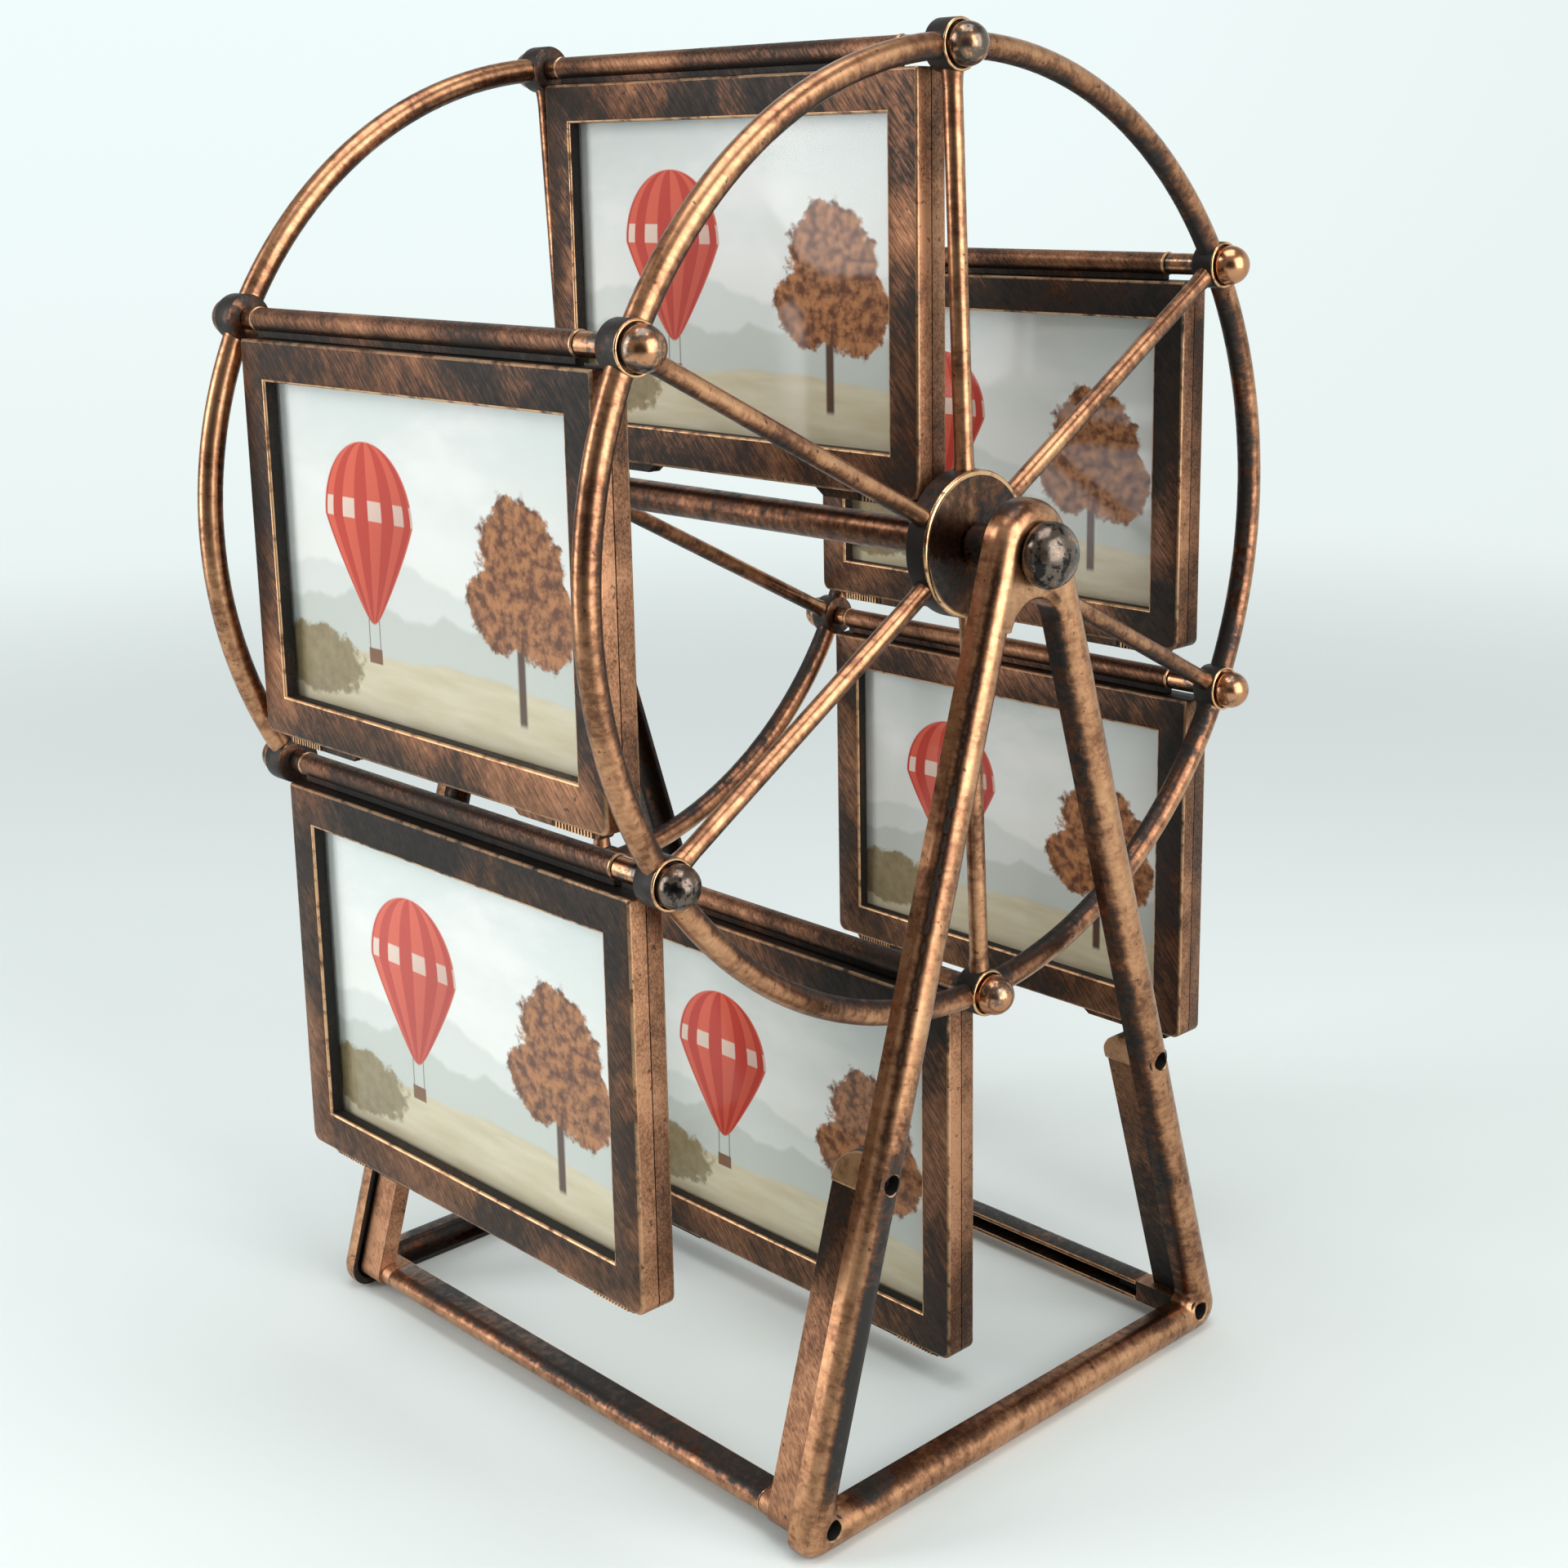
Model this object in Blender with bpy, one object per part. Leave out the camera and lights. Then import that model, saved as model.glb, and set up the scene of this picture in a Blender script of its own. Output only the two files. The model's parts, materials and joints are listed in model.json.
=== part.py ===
"""Rotating collage frame: a table-top wheel with six double-sided picture frames between its two rims.

Metres, +Z up. X runs along the axle, from the far wheel at -X to the near wheel at +X, and Y from front to
rear. The origin lies on the table, under the middle of the axle.
"""

import math

import bmesh
import bpy
from mathutils import Vector

MM = 0.001

# Clearances
SEAT_GAP = 0.3 * MM  # between two pieces that sit together
RUNNING_GAP = 0.3 * MM  # round a shaft, and beside a turning face
SHEET_GAP = 0.2 * MM  # between the thin sheets behind a window
WELD = 0.5 * MM  # how far shapes that are moulded in one run into each other

# Prints and the window over them
PRINT_WIDTH = 127 * MM
PRINT_HEIGHT = 89 * MM
SIDE_LAP = 2.3 * MM  # how much of each side of the print the frame covers
TOP_LAP = 3.8 * MM
CARD_THICKNESS = 0.8 * MM  # two prints and the card between them
PANE_THICKNESS = 0.6 * MM
SLEEVE_MARGIN = 1.2 * MM  # from the print's edge to the sleeve's edge
SIDE_STOP_LENGTH = 12 * MM  # of the ribs that keep the sleeve in its place

# Picture frames, measured from the pivot that each one hangs on
FRAME_DROP = 4.6 * MM  # pivot to the top of the frame
SIDE_BEZEL = 10.1 * MM
TOP_BEZEL = 10.4 * MM
BOTTOM_BEZEL = 10.6 * MM
FRAME_THICKNESS = 10 * MM
FRAME_WALL = 1.4 * MM
FACE_BEVEL = 0.8 * MM
LOWER_CORNER = 2.5 * MM
HANGER_RADIUS = 3.2 * MM
HANGER_NEAR_INSET = 8.8 * MM  # from the frame's side to the end of the hanging tube
HANGER_FAR_INSET = 1.8 * MM
HANGER_WEB = 2.4 * MM
HANGER_BORE_DEPTH = 13 * MM
LUG_HEIGHT = 2.6 * MM
LUG_THICKNESS = 4.4 * MM
LUG_LENGTH = 30 * MM
LUG_INSET = 6.8 * MM
LUG_SLOPE = 4 * MM

# Wheels
FRAMES = 6
FRAME_CLEARANCE = 5.2 * MM  # from a frame's lowest point to the hanging tube of the next one below it
REST_TURN = math.radians(2.5)
RIM_RADIUS = 3.2 * MM
SPOKE_RADIUS = 2.4 * MM
BARREL_RADIUS = 6.2 * MM
BARREL_LENGTH = 6.95 * MM
CUP_DEPTH = 1.2 * MM
CUP_GAP = 0.1 * MM
WHEEL_GAP = 3 * MM  # from a frame's side to the inner end of a barrel
HUB_RADIUS = 18.4 * MM
HUB_BEVEL = 0.8 * MM
AXLE_TUBE_RADIUS = 4.5 * MM
AXLE_SOCKET_DEPTH = 3 * MM

# Ball-headed pins: the small ones carry the frames, the large ones the wheels
PIN_BALL_RADIUS = 5.2 * MM
PIN_BALL_STAND = 2.5 * MM  # from the flat under the ball to its centre
PIN_NECK_RADIUS = 2.4 * MM
PIN_TIP_RADIUS = 1.6 * MM
PIN_TIP_LENGTH = 12 * MM
AXLE_BALL_RADIUS = 8.2 * MM
AXLE_BALL_REACH = 6.2 * MM  # from its centre to its tip, as it is flatter than a ball
AXLE_BALL_STAND = 3.2 * MM
AXLE_SHAFT_RADIUS = 3 * MM
AXLE_SHAFT_REACH = 14 * MM  # how far the shaft goes on inside the axle tube

# Stand
TABLE_CLEARANCE = 6.4 * MM  # under the lowest frame
FOOT_HALF_SPAN = 77 * MM  # from the middle to a leg's centre line, at the height of the base bar
LEG_WIDTH = 9.6 * MM
LEG_DEPTH = 7.7 * MM
LEG_WALL = 1.4 * MM
BEND_RADIUS = 8.25 * MM  # of a leg's centre line over the axle
FOOT_OUTER_RADIUS = 5.8 * MM
FOOT_INNER_RADIUS = 3 * MM
WEB_BELOW_AXLE = 11.3 * MM
WEB_RECESS = 0.15 * MM
BALL_SEAT_DEPTH = 0.5 * MM  # of the round seat sunk into the web
BOSS_RADIUS = 5.5 * MM
BOSS_LENGTH = 12.75 * MM
FOOT_SCREW_HEIGHT = 6.9 * MM
FOOT_SCREW_INSET = 4.3 * MM
BRACKET_DEPTH = 9.2 * MM
BRACKET_WIDTH = 5.2 * MM
BRACKET_TOP = 95 * MM
LEG_SCREW_DROP = 6 * MM  # from the top of the bracket
CAP_HEIGHT = 9 * MM
CAP_SHOULDER = 7 * MM  # height of the cap's rounded top
CAP_LIP = 0.5 * MM  # over the outer side of the upright
CAP_OVERHANG = 1 * MM  # over its inner side
CAP_BEVEL = 0.8 * MM
LEG_TONGUE_DEPTH = 1.2 * MM
LEG_TONGUE_INSET = 0.4 * MM
STUB_LENGTH = 4 * MM
BAR_WIDTH = 6 * MM
BAR_DEPTH = 8.4 * MM
BAR_WALL = 1.2 * MM
BAR_INSET = 1.8 * MM
BAR_TONGUE_LENGTH = 8 * MM
BAR_TONGUE_RECESS = 2.4 * MM  # from the open side of the bar

# Screws
SCREW_HEAD_RADIUS = 2.2 * MM
SCREW_HEAD_HEIGHT = 1.7 * MM
SCREW_SHANK_RADIUS = 1.2 * MM
SCREW_LENGTH = 11.5 * MM
SCREW_SINK = 4.4 * MM  # from the leg's outer face to the seat under the head

# Sizes that follow from those
OPENING_WIDTH = PRINT_WIDTH - 2 * SIDE_LAP
OPENING_HEIGHT = PRINT_HEIGHT - 2 * TOP_LAP
FRAME_HALF_WIDTH = OPENING_WIDTH / 2 + SIDE_BEZEL
OPENING_TOP = -FRAME_DROP - TOP_BEZEL
OPENING_BOTTOM = OPENING_TOP - OPENING_HEIGHT
FRAME_BOTTOM = OPENING_BOTTOM - BOTTOM_BEZEL
FRAME_REACH = LUG_HEIGHT - FRAME_BOTTOM
NODE_RADIUS = (FRAME_REACH + FRAME_CLEARANCE + HANGER_RADIUS) / (2 * math.sin(math.pi / FRAMES))
AXLE_HEIGHT = NODE_RADIUS + FRAME_REACH + TABLE_CLEARANCE
LEG_SCREW_HEIGHT = BRACKET_TOP - LEG_SCREW_DROP
PANE_FACE = CARD_THICKNESS / 2 + SHEET_GAP + PANE_THICKNESS
BARREL_INNER_X = FRAME_HALF_WIDTH + WHEEL_GAP
BARREL_OUTER_X = BARREL_INNER_X + BARREL_LENGTH
WHEEL_X = (BARREL_INNER_X + BARREL_OUTER_X) / 2
HANGER_NEAR_X = FRAME_HALF_WIDTH - HANGER_NEAR_INSET
HANGER_FAR_X = -FRAME_HALF_WIDTH + HANGER_FAR_INSET
LEG_INNER_X = BARREL_OUTER_X + BOSS_LENGTH
LEG_OUTER_X = LEG_INNER_X + LEG_DEPTH
WEB_OUTER_X = LEG_OUTER_X - WEB_RECESS
BALL_SEAT_X = WEB_OUTER_X - BALL_SEAT_DEPTH
SCREW_SEAT_X = LEG_OUTER_X - SCREW_SINK
BRACKET_OUTER_X = LEG_INNER_X - SEAT_GAP
BRACKET_INNER_X = BRACKET_OUTER_X - BRACKET_DEPTH
STUB_END_X = BRACKET_INNER_X - STUB_LENGTH
BAR_Y = FOOT_HALF_SPAN - BAR_INSET
BAR_Z = LEG_WIDTH - BAR_WIDTH / 2
FOOT_SCREW_Y = FOOT_HALF_SPAN - FOOT_SCREW_INSET

# How finely round shapes are divided
RIM_STEPS = 48
TUBE_STEPS = 8
ROUND_STEPS = 12
HUB_STEPS = 28
BALL_STEPS = 5
BEND_STEPS = 6
CORNER_STEPS = 4

COPPER = (0.28, 0.13, 0.07, 1)
DARK_BRONZE = (0.09, 0.06, 0.045, 1)
STEEL = (0.12, 0.11, 0.1, 1)
CLEAR = (0.95, 0.97, 0.98, 1)
PAPER = (0.8, 0.84, 0.84, 1)


def clear_scene():
    for obj in list(bpy.data.objects):
        bpy.data.objects.remove(obj)


def finish(name, colour, roughness, metallic, transmission=0.0):
    material = bpy.data.materials.new(name)
    material.use_nodes = True
    shader = material.node_tree.nodes["Principled BSDF"]
    shader.inputs["Base Color"].default_value = colour
    shader.inputs["Roughness"].default_value = roughness
    shader.inputs["Metallic"].default_value = metallic
    shader.inputs["Transmission Weight"].default_value = transmission
    return material


def arc(centre, radius, start, end, steps):
    """Points of an arc in a plane, from one angle to another, both included."""
    turns = [start + (end - start) * step / steps for step in range(steps + 1)]
    return [(centre[0] + radius * math.cos(t), centre[1] + radius * math.sin(t)) for t in turns]


def mesh_from(name, shapes):
    """One mesh of closed shapes, each a list of rings and whether its last ring joins its first."""
    shell = bmesh.new()
    for rings, joined in shapes:
        loops = [[shell.verts.new(point) for point in ring] for ring in rings]
        pairs = list(zip(loops, loops[1:]))
        if joined:
            pairs.append((loops[-1], loops[0]))
        else:
            shell.faces.new(loops[0])
            shell.faces.new(loops[-1])
        for one, other in pairs:
            for k in range(len(one)):
                after = (k + 1) % len(one)
                shell.faces.new((one[k], one[after], other[after], other[k]))
    bmesh.ops.recalc_face_normals(shell, faces=shell.faces)
    mesh = bpy.data.meshes.new(name)
    shell.to_mesh(mesh)
    shell.free()
    return mesh


def turned(profile, steps=ROUND_STEPS, centre=(0, 0), bored=False):
    """A shape turned about a line along X. The profile lists (x, radius) and the centre is in Y and Z."""
    rings = []
    for x, radius in profile:
        turns = [2 * math.pi * step / steps for step in range(steps)]
        ring = [(x, centre[0] + radius * math.cos(t), centre[1] + radius * math.sin(t)) for t in turns]
        rings.append(ring)
    return rings, bored


def along_x(outline, start, end):
    """A prism along X with an outline of (y, z) points."""
    return [[(x, y, z) for y, z in outline] for x in (start, end)], False


def along_y(outline, start, end):
    """A prism along Y with an outline of (x, z) points."""
    return [[(x, y, z) for x, z in outline] for y in (start, end)], False


def box(low, high):
    outline = [(low[1], low[2]), (high[1], low[2]), (high[1], high[2]), (low[1], high[2])]
    return along_x(outline, low[0], high[0])


def rod(start, end, radius, steps):
    """A round bar between two points that share one X."""
    axis = (Vector(end) - Vector(start)).normalized()
    across = Vector((1, 0, 0)).cross(axis)
    rings = []
    for middle in (start, end):
        turns = [2 * math.pi * step / steps for step in range(steps)]
        spread = [radius * (math.cos(t) * Vector((1, 0, 0)) + math.sin(t) * across) for t in turns]
        rings.append([Vector(middle) + offset for offset in spread])
    return rings, False


def carved(base, *cuts_and_joins):
    """The base mesh after each mesh in turn is joined to it, or cut from it."""
    block = bpy.data.objects.new("block", base)
    bpy.context.scene.collection.objects.link(block)
    tools = []
    for operation, mesh in cuts_and_joins:
        tool = bpy.data.objects.new("tool", mesh)
        bpy.context.scene.collection.objects.link(tool)
        modifier = block.modifiers.new(operation, "BOOLEAN")
        modifier.operation = operation
        modifier.object = tool
        tools.append(tool)
    bpy.context.view_layer.update()
    graph = bpy.context.evaluated_depsgraph_get()
    result = bpy.data.meshes.new_from_object(block.evaluated_get(graph))
    for helper in [block] + tools:
        bpy.data.objects.remove(helper)
    return result


def mirrored(mesh, *axes):
    """A copy of the mesh, turned over along the given axes, such as "x" or "y"."""
    shell = bmesh.new()
    shell.from_mesh(mesh)
    signs = Vector((-1 if "x" in axes else 1, -1 if "y" in axes else 1, 1))
    for vertex in shell.verts:
        vertex.co = vertex.co * signs
    if len(axes) % 2:
        bmesh.ops.reverse_faces(shell, faces=shell.faces)
    copy = bpy.data.meshes.new(mesh.name + "_mirrored")
    shell.to_mesh(copy)
    shell.free()
    return copy


def anchor(name, location):
    """An empty on the axis that a group of pieces turns about."""
    empty = bpy.data.objects.new(name, None)
    empty.location = location
    bpy.context.scene.collection.objects.link(empty)
    return empty


def place(name, mesh, material, parent, location=(0, 0, 0)):
    piece = bpy.data.objects.new(name, mesh)
    if not mesh.materials:
        mesh.materials.append(material)
    mesh.shade_smooth()
    mesh.set_sharp_from_angle(angle=math.radians(35))
    piece.parent = parent
    piece.location = location
    bpy.context.scene.collection.objects.link(piece)
    return piece


def node_turns():
    """The angle of each hanging point round the axle, from +Y towards +Z, starting at the top."""
    return [math.pi / 2 + REST_TURN + 2 * math.pi * k / FRAMES for k in range(FRAMES)]


def node_point(turn):
    """The (y, z) place of a hanging point about the axle."""
    return (NODE_RADIUS * math.cos(turn), NODE_RADIUS * math.sin(turn))


def wheel_mesh():
    """One wheel about the axle: rim, spokes, a barrel at each hanging point and the hub."""
    rim_rings = []
    for step in range(RIM_STEPS):
        turn = 2 * math.pi * step / RIM_STEPS
        section = arc((WHEEL_X, NODE_RADIUS), RIM_RADIUS, 0, 2 * math.pi, TUBE_STEPS)[:-1]
        rim_rings.append([(x, radius * math.cos(turn), radius * math.sin(turn)) for x, radius in section])
    barrel_profile = [(BARREL_INNER_X, BARREL_RADIUS), (BARREL_OUTER_X, BARREL_RADIUS)]
    neck_bore = PIN_NECK_RADIUS + RUNNING_GAP
    cup = PIN_BALL_RADIUS + CUP_GAP
    cup_floor = BARREL_OUTER_X - CUP_DEPTH
    neck_profile = [(BARREL_INNER_X - WELD, neck_bore), (cup_floor, neck_bore)]
    cup_profile = [(cup_floor, cup), (BARREL_OUTER_X + WELD, cup)]
    barrels, spokes, bores = [], [], []
    for turn in node_turns():
        centre = node_point(turn)
        barrels.append(turned(barrel_profile, centre=centre))
        bores.append(turned(neck_profile + cup_profile, centre=centre))
        outward = Vector((0, math.cos(turn), math.sin(turn)))
        middle = Vector((WHEEL_X, 0, 0))
        inner_end = middle + 0.75 * HUB_RADIUS * outward
        outer_end = middle + (NODE_RADIUS - BARREL_RADIUS / 2) * outward
        spokes.append(rod(inner_end, outer_end, SPOKE_RADIUS, TUBE_STEPS))
    hub = turned(
        [
            (BARREL_INNER_X, HUB_RADIUS - HUB_BEVEL),
            (BARREL_INNER_X + HUB_BEVEL, HUB_RADIUS),
            (BARREL_OUTER_X - HUB_BEVEL, HUB_RADIUS),
            (BARREL_OUTER_X, HUB_RADIUS - HUB_BEVEL),
        ],
        HUB_STEPS,
    )
    socket = AXLE_TUBE_RADIUS + SEAT_GAP
    socket_floor = BARREL_INNER_X + AXLE_SOCKET_DEPTH
    shaft_bore = AXLE_SHAFT_RADIUS + RUNNING_GAP
    socket_profile = [(BARREL_INNER_X - WELD, socket), (socket_floor, socket)]
    bores.append(turned(socket_profile + [(socket_floor, shaft_bore), (BARREL_OUTER_X + WELD, shaft_bore)]))
    return carved(
        mesh_from("wheel", [(rim_rings, True)]),
        ("UNION", mesh_from("spokes", spokes)),
        ("UNION", mesh_from("barrels", barrels)),
        ("UNION", mesh_from("hub", [hub])),
        ("DIFFERENCE", mesh_from("bores", bores)),
    )


def axle_tube_mesh():
    """The tube that joins the two hubs, bored for the shafts that it turns on."""
    end = BARREL_INNER_X + AXLE_SOCKET_DEPTH - SEAT_GAP
    bore = AXLE_SHAFT_RADIUS + RUNNING_GAP
    profile = [(-end, bore), (-end, AXLE_TUBE_RADIUS), (end, AXLE_TUBE_RADIUS), (end, bore)]
    return mesh_from("axle_tube", [turned(profile, bored=True)])


def ball_profile(flat_x, stand, radius, reach):
    """The outline of a ball that is cut flat on its inner side, from the flat to the tip."""
    start, tip = math.acos(-stand / reach), math.asin(0.15)
    turns = [start * (1 - step / BALL_STEPS) for step in range(BALL_STEPS)] + [tip]
    return [(flat_x + stand + reach * math.cos(t), radius * math.sin(t)) for t in turns]


def frame_pin_mesh(hanger_end_x):
    """A pin pushed through a barrel from outside: ball, neck and the tip that enters the hanging tube."""
    flat_x = BARREL_OUTER_X - CUP_DEPTH + SEAT_GAP
    neck_end = hanger_end_x + SEAT_GAP
    tip_end = hanger_end_x - PIN_TIP_LENGTH
    profile = [
        (tip_end, PIN_TIP_RADIUS),
        (neck_end, PIN_TIP_RADIUS),
        (neck_end, PIN_NECK_RADIUS),
        (flat_x, PIN_NECK_RADIUS),
    ]
    ball = ball_profile(flat_x, PIN_BALL_STAND, PIN_BALL_RADIUS, PIN_BALL_RADIUS)
    return mesh_from("ball_pin", [turned(profile + ball)])


def axle_pin_mesh():
    """The pin that a wheel turns on: ball outside the leg, shaft through boss and hub into the axle tube."""
    flat_x = BALL_SEAT_X + SEAT_GAP
    profile = [(BARREL_INNER_X - AXLE_SHAFT_REACH, AXLE_SHAFT_RADIUS), (flat_x, AXLE_SHAFT_RADIUS)]
    ball = ball_profile(flat_x, AXLE_BALL_STAND, AXLE_BALL_RADIUS, AXLE_BALL_REACH)
    return mesh_from("axle_pin", [turned(profile + ball)])


def frame_stations():
    """Corners of a frame round its opening, as (outer, inner) pairs of (x, z) points."""
    corner = LOWER_CORNER * FRAME_WALL / SIDE_BEZEL
    half = OPENING_WIDTH / 2
    right = [
        ((FRAME_HALF_WIDTH, -FRAME_DROP), (half, OPENING_TOP)),
        ((FRAME_HALF_WIDTH, FRAME_BOTTOM + LOWER_CORNER), (half, OPENING_BOTTOM + corner)),
        ((FRAME_HALF_WIDTH - LOWER_CORNER, FRAME_BOTTOM), (half - corner, OPENING_BOTTOM)),
    ]
    left = [((-outer[0], outer[1]), (-inner[0], inner[1])) for outer, inner in reversed(right)]
    return right + left


def shell_ring(side):
    """The bezel ring of one half shell, as a hollow moulding. Side is -1 in front and 1 behind."""
    face = FRAME_THICKNESS / 2
    seam = SEAT_GAP / 2
    rest = PANE_FACE + SHEET_GAP
    wall = FRAME_WALL / SIDE_BEZEL
    bevel = FACE_BEVEL / SIDE_BEZEL
    profile = [
        (1, seam),
        (1, face - FACE_BEVEL),
        (1 - bevel, face),
        (bevel, face),
        (0, face - FACE_BEVEL),
        (0, rest),
        (wall, rest),
        (wall, face - FRAME_WALL),
        (1 - wall, face - FRAME_WALL),
        (1 - wall, seam),
    ]
    rings = []
    for (outer_x, outer_z), (inner_x, inner_z) in frame_stations():
        width, height = outer_x - inner_x, outer_z - inner_z
        rings.append([(inner_x + share * width, side * y, inner_z + share * height) for share, y in profile])
    return rings, True


def lugs(side):
    """The two thumb lugs under a half shell."""
    outer_end = FRAME_HALF_WIDTH - LUG_INSET
    inner_end = outer_end - LUG_LENGTH
    top = FRAME_BOTTOM + FRAME_WALL / 2
    slope = LUG_SLOPE * (1 + (top - FRAME_BOTTOM) / LUG_HEIGHT)
    bottom = FRAME_BOTTOM - LUG_HEIGHT
    near, far = side * SEAT_GAP, side * LUG_THICKNESS / 2
    shapes = []
    for hand in (-1, 1):
        inner_side = [(inner_end - slope, top), (inner_end, bottom)]
        outer_side = [(outer_end, bottom), (outer_end + slope / 2, top)]
        shapes.append(along_y([(hand * x, z) for x, z in inner_side + outer_side], near, far))
    return mesh_from("lugs", shapes)


def front_shell_mesh():
    return carved(mesh_from("front_shell", [shell_ring(-1)]), ("UNION", lugs(-1)))


def sleeve_stops():
    """Ribs inside the rear half shell that the sleeve stands on and is kept from sliding sideways by."""
    low, high = sleeve_corners()
    front, rear = SEAT_GAP, FRAME_THICKNESS / 2 - FRAME_WALL / 2
    into_wall = FRAME_WALL / 2
    ledge_low = (low[0] + SLEEVE_MARGIN, front, FRAME_BOTTOM + into_wall)
    ledge_high = (high[0] - SLEEVE_MARGIN, rear, low[1] - SEAT_GAP)
    stops = [box(ledge_low, ledge_high)]
    middle = (low[1] + high[1]) / 2
    for hand in (-1, 1):
        near = hand * (high[0] + SEAT_GAP)
        far = hand * (FRAME_HALF_WIDTH - into_wall)
        bottom, top = middle - SIDE_STOP_LENGTH / 2, middle + SIDE_STOP_LENGTH / 2
        stops.append(box((min(near, far), front, bottom), (max(near, far), rear, top)))
    return mesh_from("sleeve_stops", stops)


def rear_shell_mesh():
    """The rear half shell, moulded in one with the tube that the frame hangs by."""
    bevel = 0.1 * HANGER_RADIUS
    bore = PIN_TIP_RADIUS + RUNNING_GAP
    hanger = turned(
        [
            (HANGER_FAR_X + HANGER_BORE_DEPTH, bore),
            (HANGER_FAR_X, bore),
            (HANGER_FAR_X, HANGER_RADIUS - bevel),
            (HANGER_FAR_X + bevel, HANGER_RADIUS),
            (HANGER_NEAR_X - bevel, HANGER_RADIUS),
            (HANGER_NEAR_X, HANGER_RADIUS - bevel),
            (HANGER_NEAR_X, bore),
            (HANGER_NEAR_X - HANGER_BORE_DEPTH, bore),
        ]
    )
    half_web = HANGER_WEB / 2
    top = -HANGER_RADIUS + WELD
    over_seam = -FRAME_DROP + SEAT_GAP
    into_wall = -FRAME_DROP - FRAME_WALL / 2
    web = along_x(
        [
            (-half_web, top),
            (-half_web, over_seam),
            (SEAT_GAP, over_seam),
            (SEAT_GAP, into_wall),
            (half_web, into_wall),
            (half_web, top),
        ],
        HANGER_FAR_X + 2 * bevel,
        HANGER_NEAR_X - 2 * bevel,
    )
    return carved(
        mesh_from("rear_shell", [shell_ring(1)]),
        ("UNION", lugs(1)),
        ("UNION", sleeve_stops()),
        ("UNION", mesh_from("web", [web])),
        ("UNION", mesh_from("hanger", [hanger])),
    )


def print_corners():
    """The low and high corner of a print, in X and Z."""
    half = PRINT_WIDTH / 2
    return (-half, OPENING_BOTTOM - TOP_LAP), (half, OPENING_TOP + TOP_LAP)


def sleeve_corners():
    low, high = print_corners()
    margin = SLEEVE_MARGIN
    return (low[0] - margin, low[1] - margin), (high[0] + margin, high[1] + margin)


def card_mesh():
    low, high = print_corners()
    half = CARD_THICKNESS / 2
    return mesh_from("print_card", [box((low[0], -half, low[1]), (high[0], half, high[1]))])


def sleeve_mesh():
    """One clear sheet folded under the prints, with a pane on each side of them."""
    low, high = sleeve_corners()
    inner = CARD_THICKNESS / 2 + SHEET_GAP
    fold = low[1] + PANE_THICKNESS
    outline = [
        (-PANE_FACE, low[1]),
        (PANE_FACE, low[1]),
        (PANE_FACE, high[1]),
        (inner, high[1]),
        (inner, fold),
        (-inner, fold),
        (-inner, high[1]),
        (-PANE_FACE, high[1]),
    ]
    return mesh_from("clear_sleeve", [along_x(outline, low[0], high[0])])


def leg_lean():
    """How far a leg leans from upright. Its centre line is tangent to the bend over the axle."""
    rise = AXLE_HEIGHT - LEG_WIDTH / 2
    return math.atan2(FOOT_HALF_SPAN, rise) - math.asin(BEND_RADIUS / math.hypot(rise, FOOT_HALF_SPAN))


def leg_point(offset, z):
    """A (y, z) point at a height, this far outside the centre line of the rear leg."""
    lean = leg_lean()
    return (FOOT_HALF_SPAN - (z - LEG_WIDTH / 2) * math.tan(lean) + offset / math.cos(lean), z)


def a_frame_stations():
    """Outer and inner (y, z) points round the A-frame: over the axle, then the rear and the front foot."""
    lean = leg_lean()
    half = LEG_WIDTH / 2
    apex = (0, AXLE_HEIGHT)
    over = arc(apex, BEND_RADIUS + half, math.pi - lean, lean, BEND_STEPS)
    under = arc(apex, BEND_RADIUS - half, math.pi - lean, lean, BEND_STEPS)
    outer_centre = leg_point(half - FOOT_OUTER_RADIUS, FOOT_OUTER_RADIUS)
    inner_centre = leg_point(-half - FOOT_INNER_RADIUS, LEG_WIDTH + FOOT_INNER_RADIUS)
    outer_foot = arc(outer_centre, FOOT_OUTER_RADIUS, lean, -math.pi / 2, CORNER_STEPS)
    inner_foot = arc(inner_centre, FOOT_INNER_RADIUS, lean, -math.pi / 2, CORNER_STEPS)
    rear_foot = list(zip(outer_foot, inner_foot))
    front_foot = [((-o[0], o[1]), (-i[0], i[1])) for o, i in reversed(rear_foot)]
    return list(zip(over, under)) + rear_foot + front_foot


def leg_section():
    """The open section of the A-frame, round on its outer side, as (share of the half width, x) points."""
    half = LEG_WIDTH / 2
    crown = LEG_OUTER_X - half
    inner = half - LEG_WALL
    outside = [(y / half, crown + x) for y, x in arc((0, 0), half, 0, math.pi, BEND_STEPS)]
    inside = [(y / half, crown + x) for y, x in arc((0, 0), inner, math.pi, 0, BEND_STEPS)]
    share = inner / half
    left_edge = [(-1, LEG_INNER_X), (-share, LEG_INNER_X)]
    right_edge = [(share, LEG_INNER_X), (1, LEG_INNER_X)]
    return outside + left_edge + inside + right_edge


def apex_web():
    """The plate between the legs that the axle passes through, with an arch under it."""
    lean = leg_lean()
    slope = math.sin(lean)
    below_crossing = (BEND_RADIUS - LEG_WIDTH / 2) / slope + WEB_BELOW_AXLE
    radius = below_crossing * slope / (1 - slope)
    arch_centre = (0, AXLE_HEIGHT - WEB_BELOW_AXLE - radius)
    arch = arc(arch_centre, radius, lean, math.pi - lean, BEND_STEPS)
    bend = arc((0, AXLE_HEIGHT), BEND_RADIUS, math.pi - lean, lean, BEND_STEPS)
    rear_corner = leg_point(0, arch[0][1])
    front_corner = (-rear_corner[0], rear_corner[1])
    return along_x(arch + [front_corner] + bend + [rear_corner], LEG_INNER_X + WELD, WEB_OUTER_X)


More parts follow.
